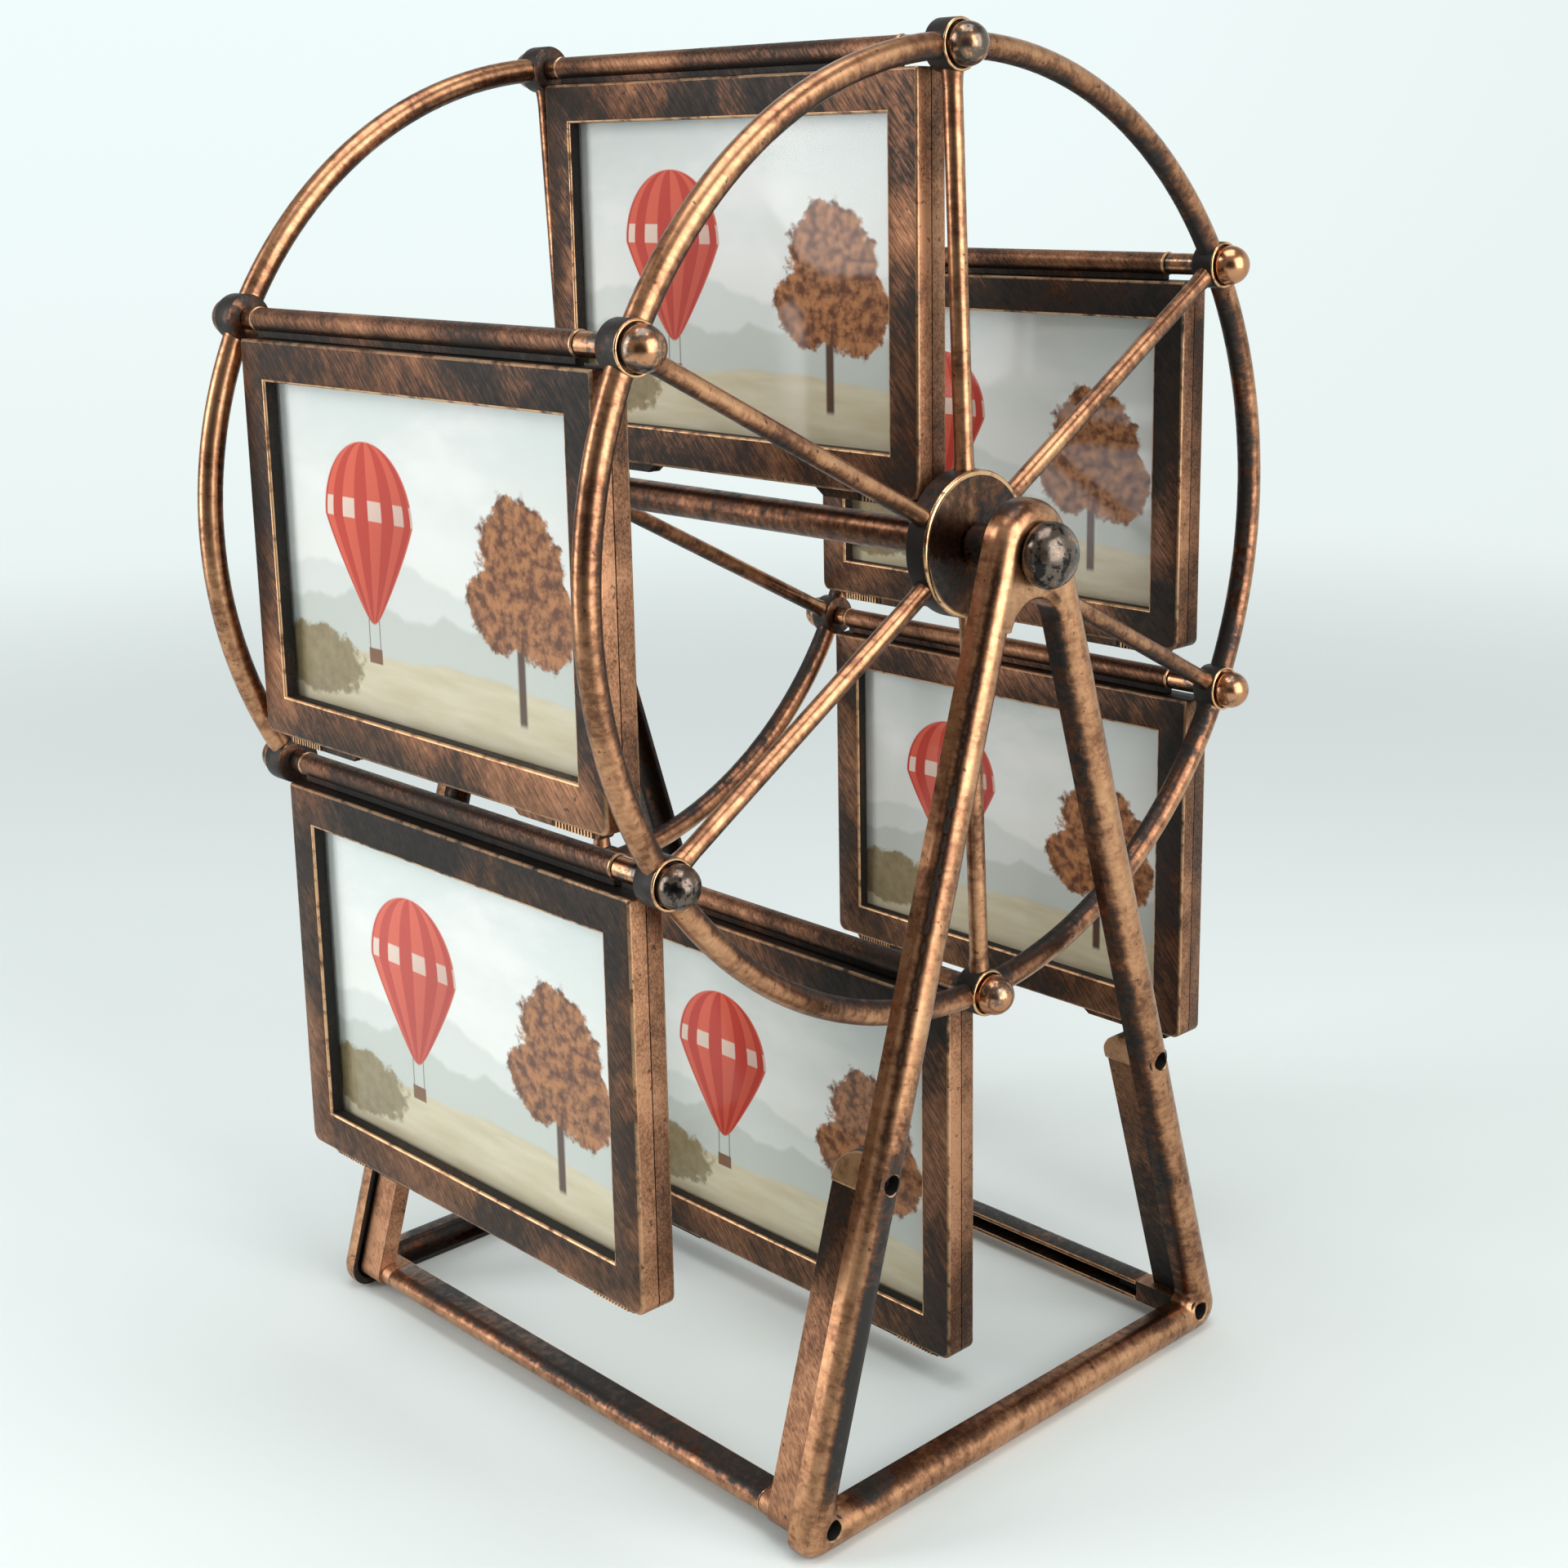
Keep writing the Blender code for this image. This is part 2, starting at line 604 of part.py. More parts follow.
def leg_plug(side):
    """The block inside a leg that its screw goes through."""
    lean = leg_lean()
    half = (LEG_WIDTH - LEG_WALL) / 2
    crown = LEG_OUTER_X - LEG_WIDTH / 2
    start = LEG_INNER_X + LEG_TONGUE_DEPTH + SEAT_GAP
    section = [(half, start)] + arc((0, crown), half, 0, math.pi, BEND_STEPS) + [(-half, start)]
    rings = []
    for z in (LEG_SCREW_HEIGHT - LEG_WIDTH / 2, LEG_SCREW_HEIGHT + LEG_WIDTH / 2):
        middle = leg_point(0, z)
        ring = [(x, side * (middle[0] + o * math.cos(lean)), z + o * math.sin(lean)) for o, x in section]
        rings.append(ring)
    return rings, False


def screw_points():
    """The (y, z) place of each screw of the near A-frame, by name."""
    leg = leg_point(0, LEG_SCREW_HEIGHT)
    foot = (FOOT_SCREW_Y, FOOT_SCREW_HEIGHT)
    return {
        "leg_front": (-leg[0], leg[1]),
        "leg_rear": leg,
        "foot_front": (-foot[0], foot[1]),
        "foot_rear": foot,
    }


def a_frame_mesh():
    """The near A-frame, moulded in one: two legs, base bar, apex web with its boss, and screw bosses."""
    section = leg_section()
    rings = []
    for outer, inner in a_frame_stations():
        middle = ((outer[0] + inner[0]) / 2, (outer[1] + inner[1]) / 2)
        half = ((outer[0] - inner[0]) / 2, (outer[1] - inner[1]) / 2)
        rings.append([(x, middle[0] + share * half[0], middle[1] + share * half[1]) for share, x in section])
    apex = (0, AXLE_HEIGHT)
    boss_start = BARREL_OUTER_X + RUNNING_GAP
    boss = turned([(boss_start, BOSS_RADIUS), (LEG_INNER_X + 2 * WELD, BOSS_RADIUS)], centre=apex)
    foot_boss_radius = SCREW_HEAD_RADIUS + LEG_WALL
    boss_profile = [(LEG_INNER_X + LEG_TONGUE_DEPTH + SEAT_GAP, foot_boss_radius)]
    boss_profile.append((LEG_OUTER_X - 0.8 * LEG_WALL, foot_boss_radius))
    places = screw_points()
    foot_bosses = [turned(boss_profile, centre=places[name]) for name in ("foot_front", "foot_rear")]
    ball_flat = AXLE_BALL_RADIUS * math.sqrt(1 - (AXLE_BALL_STAND / AXLE_BALL_REACH) ** 2)
    shaft_bore, ball_seat = AXLE_SHAFT_RADIUS + RUNNING_GAP, ball_flat + SEAT_GAP
    shaft_hole = [(BARREL_OUTER_X - WELD, shaft_bore), (BALL_SEAT_X, shaft_bore)]
    seat_hole = [(BALL_SEAT_X, ball_seat), (LEG_OUTER_X + WELD, ball_seat)]
    holes = [turned(shaft_hole + seat_hole, centre=apex)]
    shank_bore, head_bore = SCREW_SHANK_RADIUS + SEAT_GAP, SCREW_HEAD_RADIUS + SEAT_GAP
    shank_hole = [(LEG_INNER_X, shank_bore), (SCREW_SEAT_X, shank_bore)]
    head_hole = [(SCREW_SEAT_X, head_bore), (LEG_OUTER_X + WELD, head_bore)]
    for centre in places.values():
        holes.append(turned(shank_hole + head_hole, centre=centre))
    return carved(
        mesh_from("a_frame", [(rings, True)]),
        ("UNION", mesh_from("web", [apex_web()])),
        ("UNION", mesh_from("boss", [boss])),
        ("UNION", mesh_from("leg_plugs", [leg_plug(-1), leg_plug(1)])),
        ("UNION", mesh_from("foot_bosses", foot_bosses)),
        ("DIFFERENCE", mesh_from("holes", holes)),
    )


def screw_mesh():
    """A round-headed screw along X. Its origin is on the seat under its head."""
    profile = [
        (-SCREW_LENGTH, SCREW_SHANK_RADIUS / 2),
        (-SCREW_LENGTH + SCREW_SHANK_RADIUS, SCREW_SHANK_RADIUS),
        (0, SCREW_SHANK_RADIUS),
        (0, SCREW_HEAD_RADIUS),
        (SCREW_HEAD_HEIGHT / 2, SCREW_HEAD_RADIUS),
        (SCREW_HEAD_HEIGHT, SCREW_HEAD_RADIUS * 0.6),
    ]
    return mesh_from("screw", [turned(profile, steps=10)])


def bar_outline(inset, recess=0.0):
    """A long bar's outline in Y and Z, drawn in by an inset, and by a recess on its open inner side."""
    radius = BAR_WIDTH / 2 - inset
    inner_y = BAR_Y + BAR_WIDTH / 2 - BAR_DEPTH + recess
    round_side = arc((BAR_Y, BAR_Z), radius, -math.pi / 2, math.pi / 2, BEND_STEPS)
    return [(inner_y, BAR_Z - radius)] + round_side + [(inner_y, BAR_Z + radius)]


def long_bar_mesh():
    """The rear long bar: a half-round channel, open on its inner side."""
    outside = bar_outline(0)
    inside = bar_outline(BAR_WALL)
    end = STUB_END_X - SEAT_GAP
    return mesh_from("long_bar", [along_x(outside + list(reversed(inside)), -end, end)])


def leg_strip(inner, outer, bottom, top):
    """An outline in Y and Z along the rear leg, between two distances outside its centre line."""
    return [leg_point(inner, bottom), leg_point(outer, bottom), leg_point(outer, top), leg_point(inner, top)]


def upright_outline():
    """The rear bracket's outline in Y and Z: an upright along the leg on a foot as high as the long bar."""
    half = BRACKET_WIDTH / 2
    radius = BAR_WIDTH / 2
    inner_y = BAR_Y + radius - BAR_DEPTH
    foot = arc(leg_point(half - radius, BAR_Z), radius, -math.pi / 2, leg_lean(), CORNER_STEPS)
    top = BRACKET_TOP - CAP_HEIGHT + WELD
    upright = [leg_point(half, top), leg_point(-half, top), leg_point(-half, BAR_Z + radius)]
    return [(inner_y, BAR_Z - radius)] + foot + upright + [(inner_y, BAR_Z + radius)]


def cap_ring(offset, inset):
    """The cap's outline at a distance outside the leg's centre line, drawn in by an inset."""
    bottom = BRACKET_TOP - CAP_HEIGHT + inset
    shoulder = BRACKET_TOP - CAP_SHOULDER
    inner_x, outer_x = BRACKET_INNER_X - CAP_LIP + inset, BRACKET_OUTER_X - WELD / 2
    outline = [(outer_x, bottom), (inner_x, bottom)]
    for x, z in arc((0, 0), 1, math.pi, math.pi / 2, BEND_STEPS):
        outline.append((outer_x + x * (outer_x - inner_x), shoulder + z * (CAP_SHOULDER - inset)))
    return [(x, *leg_point(offset, z)) for x, z in outline]


def cap():
    """The cap on the rear bracket, rounded down from the leg to its inner face."""
    outer = BRACKET_WIDTH / 2 + CAP_LIP
    inner = -BRACKET_WIDTH / 2 - CAP_OVERHANG
    steps = ((inner, CAP_BEVEL), (inner + CAP_BEVEL, 0), (outer - CAP_BEVEL, 0), (outer, CAP_BEVEL))
    return [cap_ring(offset, inset) for offset, inset in steps], False


def bracket_mesh():
    """The rear near bracket: an upright against the leg, its cap, and a stub for the long bar."""
    tongue = bar_outline(BAR_WALL + SEAT_GAP, BAR_TONGUE_RECESS)
    inside_leg = BRACKET_WIDTH / 2 - LEG_TONGUE_INSET
    cap_bottom = BRACKET_TOP - CAP_HEIGHT
    leg_tongue = leg_strip(-inside_leg, inside_leg, 2 * BAR_WIDTH, cap_bottom - WELD)
    places = screw_points()
    hole_end = SCREW_SEAT_X - SCREW_LENGTH
    hole_radius = SCREW_SHANK_RADIUS + SEAT_GAP
    hole = [(hole_end, hole_radius), (LEG_INNER_X + LEG_TONGUE_DEPTH + WELD, hole_radius)]
    holes = [turned(hole, centre=places[name]) for name in ("leg_rear", "foot_rear")]
    joins = (
        ("cap", cap()),
        ("stub", along_x(bar_outline(0), STUB_END_X, BRACKET_INNER_X + WELD)),
        ("tongue", along_x(tongue, STUB_END_X - BAR_TONGUE_LENGTH, STUB_END_X + WELD)),
        ("leg_tongue", along_x(leg_tongue, BRACKET_OUTER_X - WELD, LEG_INNER_X + LEG_TONGUE_DEPTH)),
    )
    return carved(
        mesh_from("bracket", [along_x(upright_outline(), BRACKET_INNER_X, BRACKET_OUTER_X)]),
        *[("UNION", mesh_from(name, [shape])) for name, shape in joins],
        ("DIFFERENCE", mesh_from("screw_holes", holes)),
    )


def build_stand(copper, dark_bronze, steel):
    stand = anchor("stand", (0, 0, 0))
    frame = a_frame_mesh()
    place("a_frame_near", frame, copper, stand)
    place("a_frame_far", mirrored(frame, "x"), copper, stand)
    bracket = bracket_mesh()
    place("bracket_near_rear", bracket, copper, stand)
    place("bracket_near_front", mirrored(bracket, "y"), copper, stand)
    place("bracket_far_rear", mirrored(bracket, "x"), copper, stand)
    place("bracket_far_front", mirrored(bracket, "x", "y"), copper, stand)
    bar = long_bar_mesh()
    place("long_bar_rear", bar, copper, stand)
    place("long_bar_front", mirrored(bar, "y"), copper, stand)
    screw = screw_mesh()
    far_screw = mirrored(screw, "x")
    for name, (y, z) in screw_points().items():
        place("screw_near_" + name, screw, steel, stand, (SCREW_SEAT_X + SEAT_GAP, y, z))
        place("screw_far_" + name, far_screw, steel, stand, (-SCREW_SEAT_X - SEAT_GAP, y, z))
    pin = axle_pin_mesh()
    place("axle_pin_near", pin, dark_bronze, stand, (0, 0, AXLE_HEIGHT))
    place("axle_pin_far", mirrored(pin, "x"), dark_bronze, stand, (0, 0, AXLE_HEIGHT))


def build_wheels(copper):
    axis = anchor("wheel_axis", (0, 0, AXLE_HEIGHT))
    wheel = wheel_mesh()
    place("wheel_near", wheel, copper, axis)
    place("wheel_far", mirrored(wheel, "x"), copper, axis)
    place("axle_tube", axle_tube_mesh(), copper, axis)


def build_frames(copper, dark_bronze, clear, paper):
    """The six frames and the pins that they hang on, counted from the top towards the front."""
    front_shell = front_shell_mesh()
    rear_shell = rear_shell_mesh()
    sleeve = sleeve_mesh()
    card = card_mesh()
    near_pin = frame_pin_mesh(HANGER_NEAR_X)
    far_pin = mirrored(frame_pin_mesh(-HANGER_FAR_X), "x")
    for number, turn in enumerate(node_turns(), 1):
        y, z = node_point(turn)
        pivot = anchor(f"pivot_{number}", (0, y, AXLE_HEIGHT + z))
        place(f"frame_{number}_front_shell", front_shell, copper, pivot)
        place(f"frame_{number}_rear_shell", rear_shell, copper, pivot)
        place(f"frame_{number}_clear_sleeve", sleeve, clear, pivot)
        place(f"frame_{number}_print_card", card, paper, pivot)
        place(f"ball_pin_{number}_near", near_pin, dark_bronze, pivot)
        place(f"ball_pin_{number}_far", far_pin, dark_bronze, pivot)


def main():
    clear_scene()
    copper = finish("antique_copper", COPPER, 0.42, 0.75)
    dark_bronze = finish("dark_bronze", DARK_BRONZE, 0.3, 0.9)
    steel = finish("blackened_steel", STEEL, 0.45, 0.9)
    clear = finish("clear_sheet", CLEAR, 0.08, 0.0, transmission=1.0)
    paper = finish("print_paper", PAPER, 0.5, 0.0)
    build_stand(copper, dark_bronze, steel)
    build_wheels(copper)
    build_frames(copper, dark_bronze, clear, paper)


main()
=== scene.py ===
"""Looks of the rotating collage frame: fine meshes, antique copper finish, prints, light and camera.

Metres, +Z up. X runs along the axle to the near wheel at +X, and Y from front to rear. Angles in the
wheel's plane are measured round the axle from +Y towards +Z.
"""

import json
from math import acos, asin, atan2, copysign, cos, exp, hypot, pi, radians, remainder, sin, sqrt, tan

import bmesh
import bpy
from mathutils import Matrix, Vector


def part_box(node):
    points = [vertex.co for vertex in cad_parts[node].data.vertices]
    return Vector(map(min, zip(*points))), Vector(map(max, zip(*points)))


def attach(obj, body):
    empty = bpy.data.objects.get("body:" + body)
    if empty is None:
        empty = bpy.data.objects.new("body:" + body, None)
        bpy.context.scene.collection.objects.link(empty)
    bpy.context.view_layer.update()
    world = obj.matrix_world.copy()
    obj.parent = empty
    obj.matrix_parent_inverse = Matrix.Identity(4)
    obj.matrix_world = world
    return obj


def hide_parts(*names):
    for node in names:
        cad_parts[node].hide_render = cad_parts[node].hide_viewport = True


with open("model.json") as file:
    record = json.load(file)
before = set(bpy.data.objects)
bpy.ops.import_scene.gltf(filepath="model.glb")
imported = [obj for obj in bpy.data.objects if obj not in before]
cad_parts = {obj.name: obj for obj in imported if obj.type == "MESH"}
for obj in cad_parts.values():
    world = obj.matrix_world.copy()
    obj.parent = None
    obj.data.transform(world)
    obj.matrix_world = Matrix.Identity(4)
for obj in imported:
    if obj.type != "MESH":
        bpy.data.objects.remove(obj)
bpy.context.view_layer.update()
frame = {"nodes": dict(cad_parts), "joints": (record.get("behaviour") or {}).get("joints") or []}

MM = 0.001
FULL, QUARTER = 2 * pi, pi / 2


def span_x(node):
    return [corner.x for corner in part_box(node)]


def from_pivot(node):
    """The low and the high corner of a node of the first frame, from its pivot."""
    return [corner - PIVOTS[0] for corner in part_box(node)]


# Places and sizes that come from the frame
JOINTS = {joint["name"]: joint for joint in frame["joints"]}
FRAMES = sum(name.endswith("_level") for name in JOINTS)
AXLE_HEIGHT = JOINTS["wheel_spin"]["pos_m"][2]
PIVOTS = [Vector(JOINTS[f"frame_{k}_level"]["pos_m"]) for k in range(1, FRAMES + 1)]
NODE_TURNS = [atan2(p.z - AXLE_HEIGHT, p.y) for p in PIVOTS]
NODE_RADIUS = hypot(PIVOTS[0].y, PIVOTS[0].z - AXLE_HEIGHT)
BARREL_INNER_X, BARREL_OUTER_X = span_x("wheel_near")
WHEEL_X = (BARREL_INNER_X + BARREL_OUTER_X) / 2
WHEEL_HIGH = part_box("wheel_near")[1]
RIM_RADIUS = WHEEL_HIGH.y - NODE_RADIUS
BARREL_RADIUS = WHEEL_HIGH.z - PIVOTS[0].z
SHELL_LOW, SHELL_HIGH = from_pivot("frame_1_front_shell")
FRAME_HALF_WIDTH, FRAME_TOP, LUG_BOTTOM = SHELL_HIGH.x, SHELL_HIGH.z, SHELL_LOW.z
FRAME_FACE, SEAM = -SHELL_LOW.y, -SHELL_HIGH.y
HANGER_RADIUS = from_pivot("frame_1_rear_shell")[1].z
SLEEVE_FACE = -from_pivot("frame_1_clear_sleeve")[0].y
CARD_LOW, CARD_HIGH = from_pivot("frame_1_print_card")
PIN_TIP_X, PIN_END_X = span_x("ball_pin_1_near")
FAR_PIN_TIP_X = -span_x("ball_pin_1_far")[1]
AXLE_PIN_START_X, AXLE_PIN_END_X = span_x("axle_pin_near")
BOSS_START_X, LEG_OUTER_X = span_x("a_frame_near")
BRACKET_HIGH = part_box("bracket_near_rear")[1]
BAR_LOW, BAR_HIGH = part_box("long_bar_rear")

# Picture frames, from the pivot
OPENING_HALF_WIDTH = 61.2 * MM
OPENING_TOP = -15 * MM
OPENING_BOTTOM = -96.4 * MM
OPENING_CORNER = 0.15 * MM
OPENING_BEVEL = 0.6 * MM
FRAME_BOTTOM = -107 * MM
FRAME_WALL = 1.4 * MM
FACE_BEVEL = 0.7 * MM
LOWER_CORNER = 2.5 * MM
UPPER_CORNER = 0.6 * MM
BEZEL_WEAR = {1: 0.4, 2: 0.5, 3: 0.3, 5: 1.0, 6: 1.0, 7: 1.0}
HANGER_NEAR_X = 62.5 * MM
HANGER_FAR_X = -69.5 * MM
HANGER_WEB = 2.4 * MM
HANGER_BORE_DEPTH = 6 * MM
END_RING = 0.7 * MM
LUG_OUTER_X = 64.5 * MM
LUG_LENGTH = 30 * MM
LUG_SLOPE = 4 * MM
LUG_THICKNESS = 2.2 * MM
LUG_EDGE = 0.3 * MM
LUG_RIBS = 12
LUG_RIB_PITCH = 1.15 * MM
CARD_CORNER = 0.6 * MM
PRINT_THICKNESS = 0.25 * MM

# Wheels and pins
RIM_STEPS, ROUND_STEPS = 192, 20
SPOKE_RADIUS = 2.4 * MM
SPOKE_FLARE = ((0, 0.5 * MM), (0.022, 0.15 * MM), (0.05, 0))
HUB_RADIUS = 18.4 * MM
HUB_BEVEL = 0.8 * MM
HUB_DISH = 0.25 * MM
AXLE_TUBE_RADIUS = 4.5 * MM
CUP_RADIUS = 5.3 * MM
CUP_DEPTH = 1.2 * MM
BALL_RADIUS = 5.2 * MM
BALL_STAND = 2.5 * MM
NECK_RADIUS = 2.4 * MM
COLLAR_RADIUS = 2.9 * MM
TIP_RADIUS = 1.6 * MM
AXLE_BALL_RADIUS = 8.2 * MM
AXLE_BALL_REACH = 6.2 * MM
AXLE_BALL_STAND = 3.2 * MM
SHAFT_RADIUS = 3 * MM

# Stand
GAP = 0.3 * MM
LEG_WIDTH = 9.6 * MM
LEG_WALL = 1.4 * MM
LEG_INNER_X = LEG_OUTER_X - 7.7 * MM
FOOT_HALF_SPAN = 77 * MM
BEND_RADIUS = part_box("a_frame_near")[1].z - AXLE_HEIGHT - LEG_WIDTH / 2
FOOT_OUTER_RADIUS = 5.8 * MM
FOOT_INNER_RADIUS = 3 * MM
WEB_BELOW_AXLE = 11.3 * MM
WEB_RECESS = 0.15 * MM
NOTCH_ROUND = 2.2 * MM
BALL_SEAT_DEPTH = 0.5 * MM
BOSS_RADIUS = 5.5 * MM
SCREW_PLACES = ("leg_front", "leg_rear", "foot_front", "foot_rear")
FOOT_SCREW_Y = 72.7 * MM
FOOT_SCREW_HEIGHT = 6.9 * MM
LEG_SCREW_DROP = 6 * MM
SCREW_SINK = 4.4 * MM
SCREW_HEAD_RADIUS = 2.2 * MM
SCREW_HEAD_HEIGHT = 1.7 * MM
SCREW_SHANK_RADIUS = 1.2 * MM
SCREW_LENGTH = 11.5 * MM
HEAD_HOLE_RADIUS = 2.5 * MM
HEAD_HOLE_CHAMFER = 0.45 * MM
PLUG_RADIUS = 3.6 * MM
CAP_BOTTOM = BRACKET_HIGH.z - 9 * MM
CAP_SHOULDER = 7 * MM
CAP_LIP = 0.5 * MM
CAP_OVERHANG = 1 * MM
CAP_BEVEL = 0.8 * MM
BRACKET_WIDTH = 5.2 * MM
BRACKET_OUTER_X = LEG_INNER_X - GAP
BRACKET_INNER_X = BRACKET_OUTER_X - 9.2 * MM
STUB_END_X = BAR_HIGH.x + GAP
TONGUE_RECESS = 2.4 * MM
BAR_WIDTH = BAR_HIGH.z - BAR_LOW.z
BAR_WALL = 1.2 * MM
BAR_Y = BAR_HIGH.y - BAR_WIDTH / 2
BAR_Z = BAR_LOW.z + BAR_WIDTH / 2

# Finish. A patch is (y, z, reach), with z from the axle
STROKE_SPREAD = 0.2
SMOOTH_BELOW = radians(38)
HUB_DARK_PATCH = (6 * MM, 8 * MM, 9 * MM)
HUB_PALE_PATCH = (-1.5 * MM, 9.5 * MM, 5 * MM)
APEX_BLACK = ((-7 * MM, 13 * MM, 6 * MM), (6.5 * MM, -9.5 * MM, 4.5 * MM), (-10 * MM, -2 * MM, 3 * MM))
NEAR_BALL_TINTS = (0.5, 0.52, 0.75, 0.2, 0.15, 0.08)
FAR_BALL_TINT = 0.3

# Camera: place, direction and lens as fitted to the photograph
CAMERA_PLACE = Vector((442.3, -400.3, 325.3)) * MM
CAMERA_AZIMUTH = radians(45.5)
CAMERA_DIP = radians(12.97)
CAMERA_ROLL = -0.0124
LENS = 51.14
SHIFT_X = -0.0395
SHIFT_Y = -0.0687


def spread(start, end, steps):
    """Numbers from start to end in even steps, both included."""
    return [start + (end - start) * step / steps for step in range(steps + 1)]


def arc(centre, radius, start, end, steps):
    """Points of an arc in a plane, from one angle to another, both included."""
    turns = spread(start, end, steps)
    return [(centre[0] + radius * cos(t), centre[1] + radius * sin(t)) for t in turns]


def circle(centre, radius, steps):
    return arc(centre, radius, 0, FULL, steps)[:-1]


def between(value, low, high):
    """A smooth step from 0 at low to 1 at high."""
    share = min(1.0, max(0.0, (value - low) / (high - low)))
    return share * share * (3 - 2 * share)


def patch(y, z, spot):
    """1 in the middle of a round patch, falling to 0 at its reach."""
    return max(0.0, 1 - hypot(y - spot[0], z - spot[1]) / spot[2])


def outward(turn):
    return Vector((0, cos(turn), sin(turn)))


class Moulding:
    """A mesh under construction. Faces carry how worn they are, and how dark they are painted, by the black
    base and by painted shade.
    """

    def __init__(self, mesh=None):
        self.shell = bmesh.new()
        if mesh:
            self.shell.from_mesh(mesh)
        layers = self.shell.faces.layers.float
        for name in ("worn", "tint"):
            if layers.get(name) is None:
                layers.new(name)
        self.worn, self.tint = layers["worn"], layers["tint"]

    def mark(self, faces, worn, tint):
        for face in faces:
            face[self.worn] = worn
            face[self.tint] = tint

    def loft(self, rings, joined=False, tint=0.0, worn=None, worn_stretches=None):
        """Faces between rings, which get end caps unless they are joined into a loop.

        Worn says how rubbed the segments round each ring look, and worn_stretches those from ring to ring.
        """
        round_ring, along = worn or {}, worn_stretches or {}
        loops = [[self.shell.verts.new(point) for point in ring] for ring in rings]
        pairs = list(zip(loops, loops[1:]))
        if joined:
            pairs.append((loops[-1], loops[0]))
        else:
            self.mark([self.shell.faces.new(loops[0]), self.shell.faces.new(loops[-1])], 0, tint)
        for stretch, (one, other) in enumerate(pairs):
            for k in range(len(one)):
                after = (k + 1) % len(one)
                face = self.shell.faces.new((one[k], one[after], other[after], other[k]))
                self.mark([face], round_ring.get(k, 0.0) + along.get(stretch, 0.0), tint)
        return self

    def turned(self, profile, steps, centre=(0, 0), tint=0.0, worn=None, joined=False):
        """A shape turned about a line along X. The profile lists (x, radius), and worn its stretches."""
        rings = [[(x, *point) for point in circle(centre, radius, steps)] for x, radius in profile]
        return self.loft(rings, joined, tint, worn_stretches=worn)

    def bevel_sharp(self, width, segments, angle):
        """Rounds the edges sharper than the angle in degrees, and marks the new faces as worn."""
        bmesh.ops.remove_doubles(self.shell, verts=self.shell.verts, dist=0.001 * MM)
        bmesh.ops.recalc_face_normals(self.shell, faces=self.shell.faces)
        limit = radians(angle)
        edges = [e for e in self.shell.edges if e.is_manifold and e.calc_face_angle(0) > limit]
        how = {"profile": 0.6, "affect": "EDGES", "clamp_overlap": True}
        made = bmesh.ops.bevel(self.shell, geom=edges, offset=width, segments=segments, **how)
        for face in made["faces"]:
            face[self.worn] = 1.0

    def mesh(self, name):
        bmesh.ops.recalc_face_normals(self.shell, faces=self.shell.faces)
        mesh = bpy.data.meshes.new(name)
        self.shell.to_mesh(mesh)
        self.shell.free()
        return mesh


def prism_x(outline, *places):
    """Rings of a prism along X, at the given places, with an outline of (y, z) points."""
    return [[(x, y, z) for y, z in outline] for x in places]


def box_rings(low, high):
    outline = [(low[1], low[2]), (high[1], low[2]), (high[1], high[2]), (low[1], high[2])]
    return prism_x(outline, low[0], high[0])


def rod_rings(start, end, radii, steps):
    """Rings of a round bar between two points that share one X. Radii lists (share of the length, radius)."""
    side = Vector((1, 0, 0))
    across = side.cross((end - start).normalized())
    return [
        [start.lerp(end, share) + a * side + b * across for a, b in circle((0, 0), radius, steps)]
        for share, radius in radii
    ]


def in_scene(name, data):
    """A new object of the scene with a mesh, a lamp or a camera."""
    made = bpy.data.objects.new(name, data)
    bpy.context.scene.collection.objects.link(made)
    return made


def carved(base, *steps):
    """The base mesh after each mesh in turn is joined to it, or cut from it."""
    block = in_scene("block", base)
    tools = []
    for operation, mesh in steps:
        tools.append(in_scene("tool", mesh))
        modifier = block.modifiers.new(operation, "BOOLEAN")
        modifier.operation, modifier.object = operation, tools[-1]
    bpy.context.view_layer.update()
    result = bpy.data.meshes.new_from_object(block.evaluated_get(bpy.context.evaluated_depsgraph_get()))
    for helper in [block] + tools:
        bpy.data.objects.remove(helper)
    return result


def moved(mesh, offset=(0, 0, 0), mirror=""):
    """A copy of the mesh, mirrored along the given axes and then shifted."""
    signs = [-1 if axis in mirror else 1 for axis in "xyz"]
    copy = mesh.copy()
    copy.transform(Matrix.Translation(offset) @ Matrix.Diagonal((*signs, 1)))
    if len(mirror) % 2:
        copy.flip_normals()
    return copy


def paint(mesh, rule, axis):
    """Stores how dark each corner is painted, and where brush strokes take their pattern from.

    The shade is the face's own tint, or the rule's answer where that is darker. It runs from 1, the black
    base, to a little below 0, bare copper. Besides the black base it carries painted shade and painted light.
    Strokes run across a tube: their place stays close to the tube's centre line, which the axis function
    gives.
    """
    tint = mesh.attributes["tint"].data
    shade = mesh.attributes.new("shade", "FLOAT", "CORNER")
    brush = mesh.attributes.new("brush", "FLOAT_VECTOR", "CORNER")
    normals = mesh.corner_normals
    for face in mesh.polygons:
        own = tint[face.index].value
        for corner in face.loop_indices:
            place = mesh.vertices[mesh.loops[corner].vertex_index].co
            value = rule(place, normals[corner].vector)
            shade.data[corner].value = min(1.0, max(value, own) if own else value)
            middle = axis(place) if axis else place
            brush.data[corner].vector = middle + STROKE_SPREAD * (place - middle)


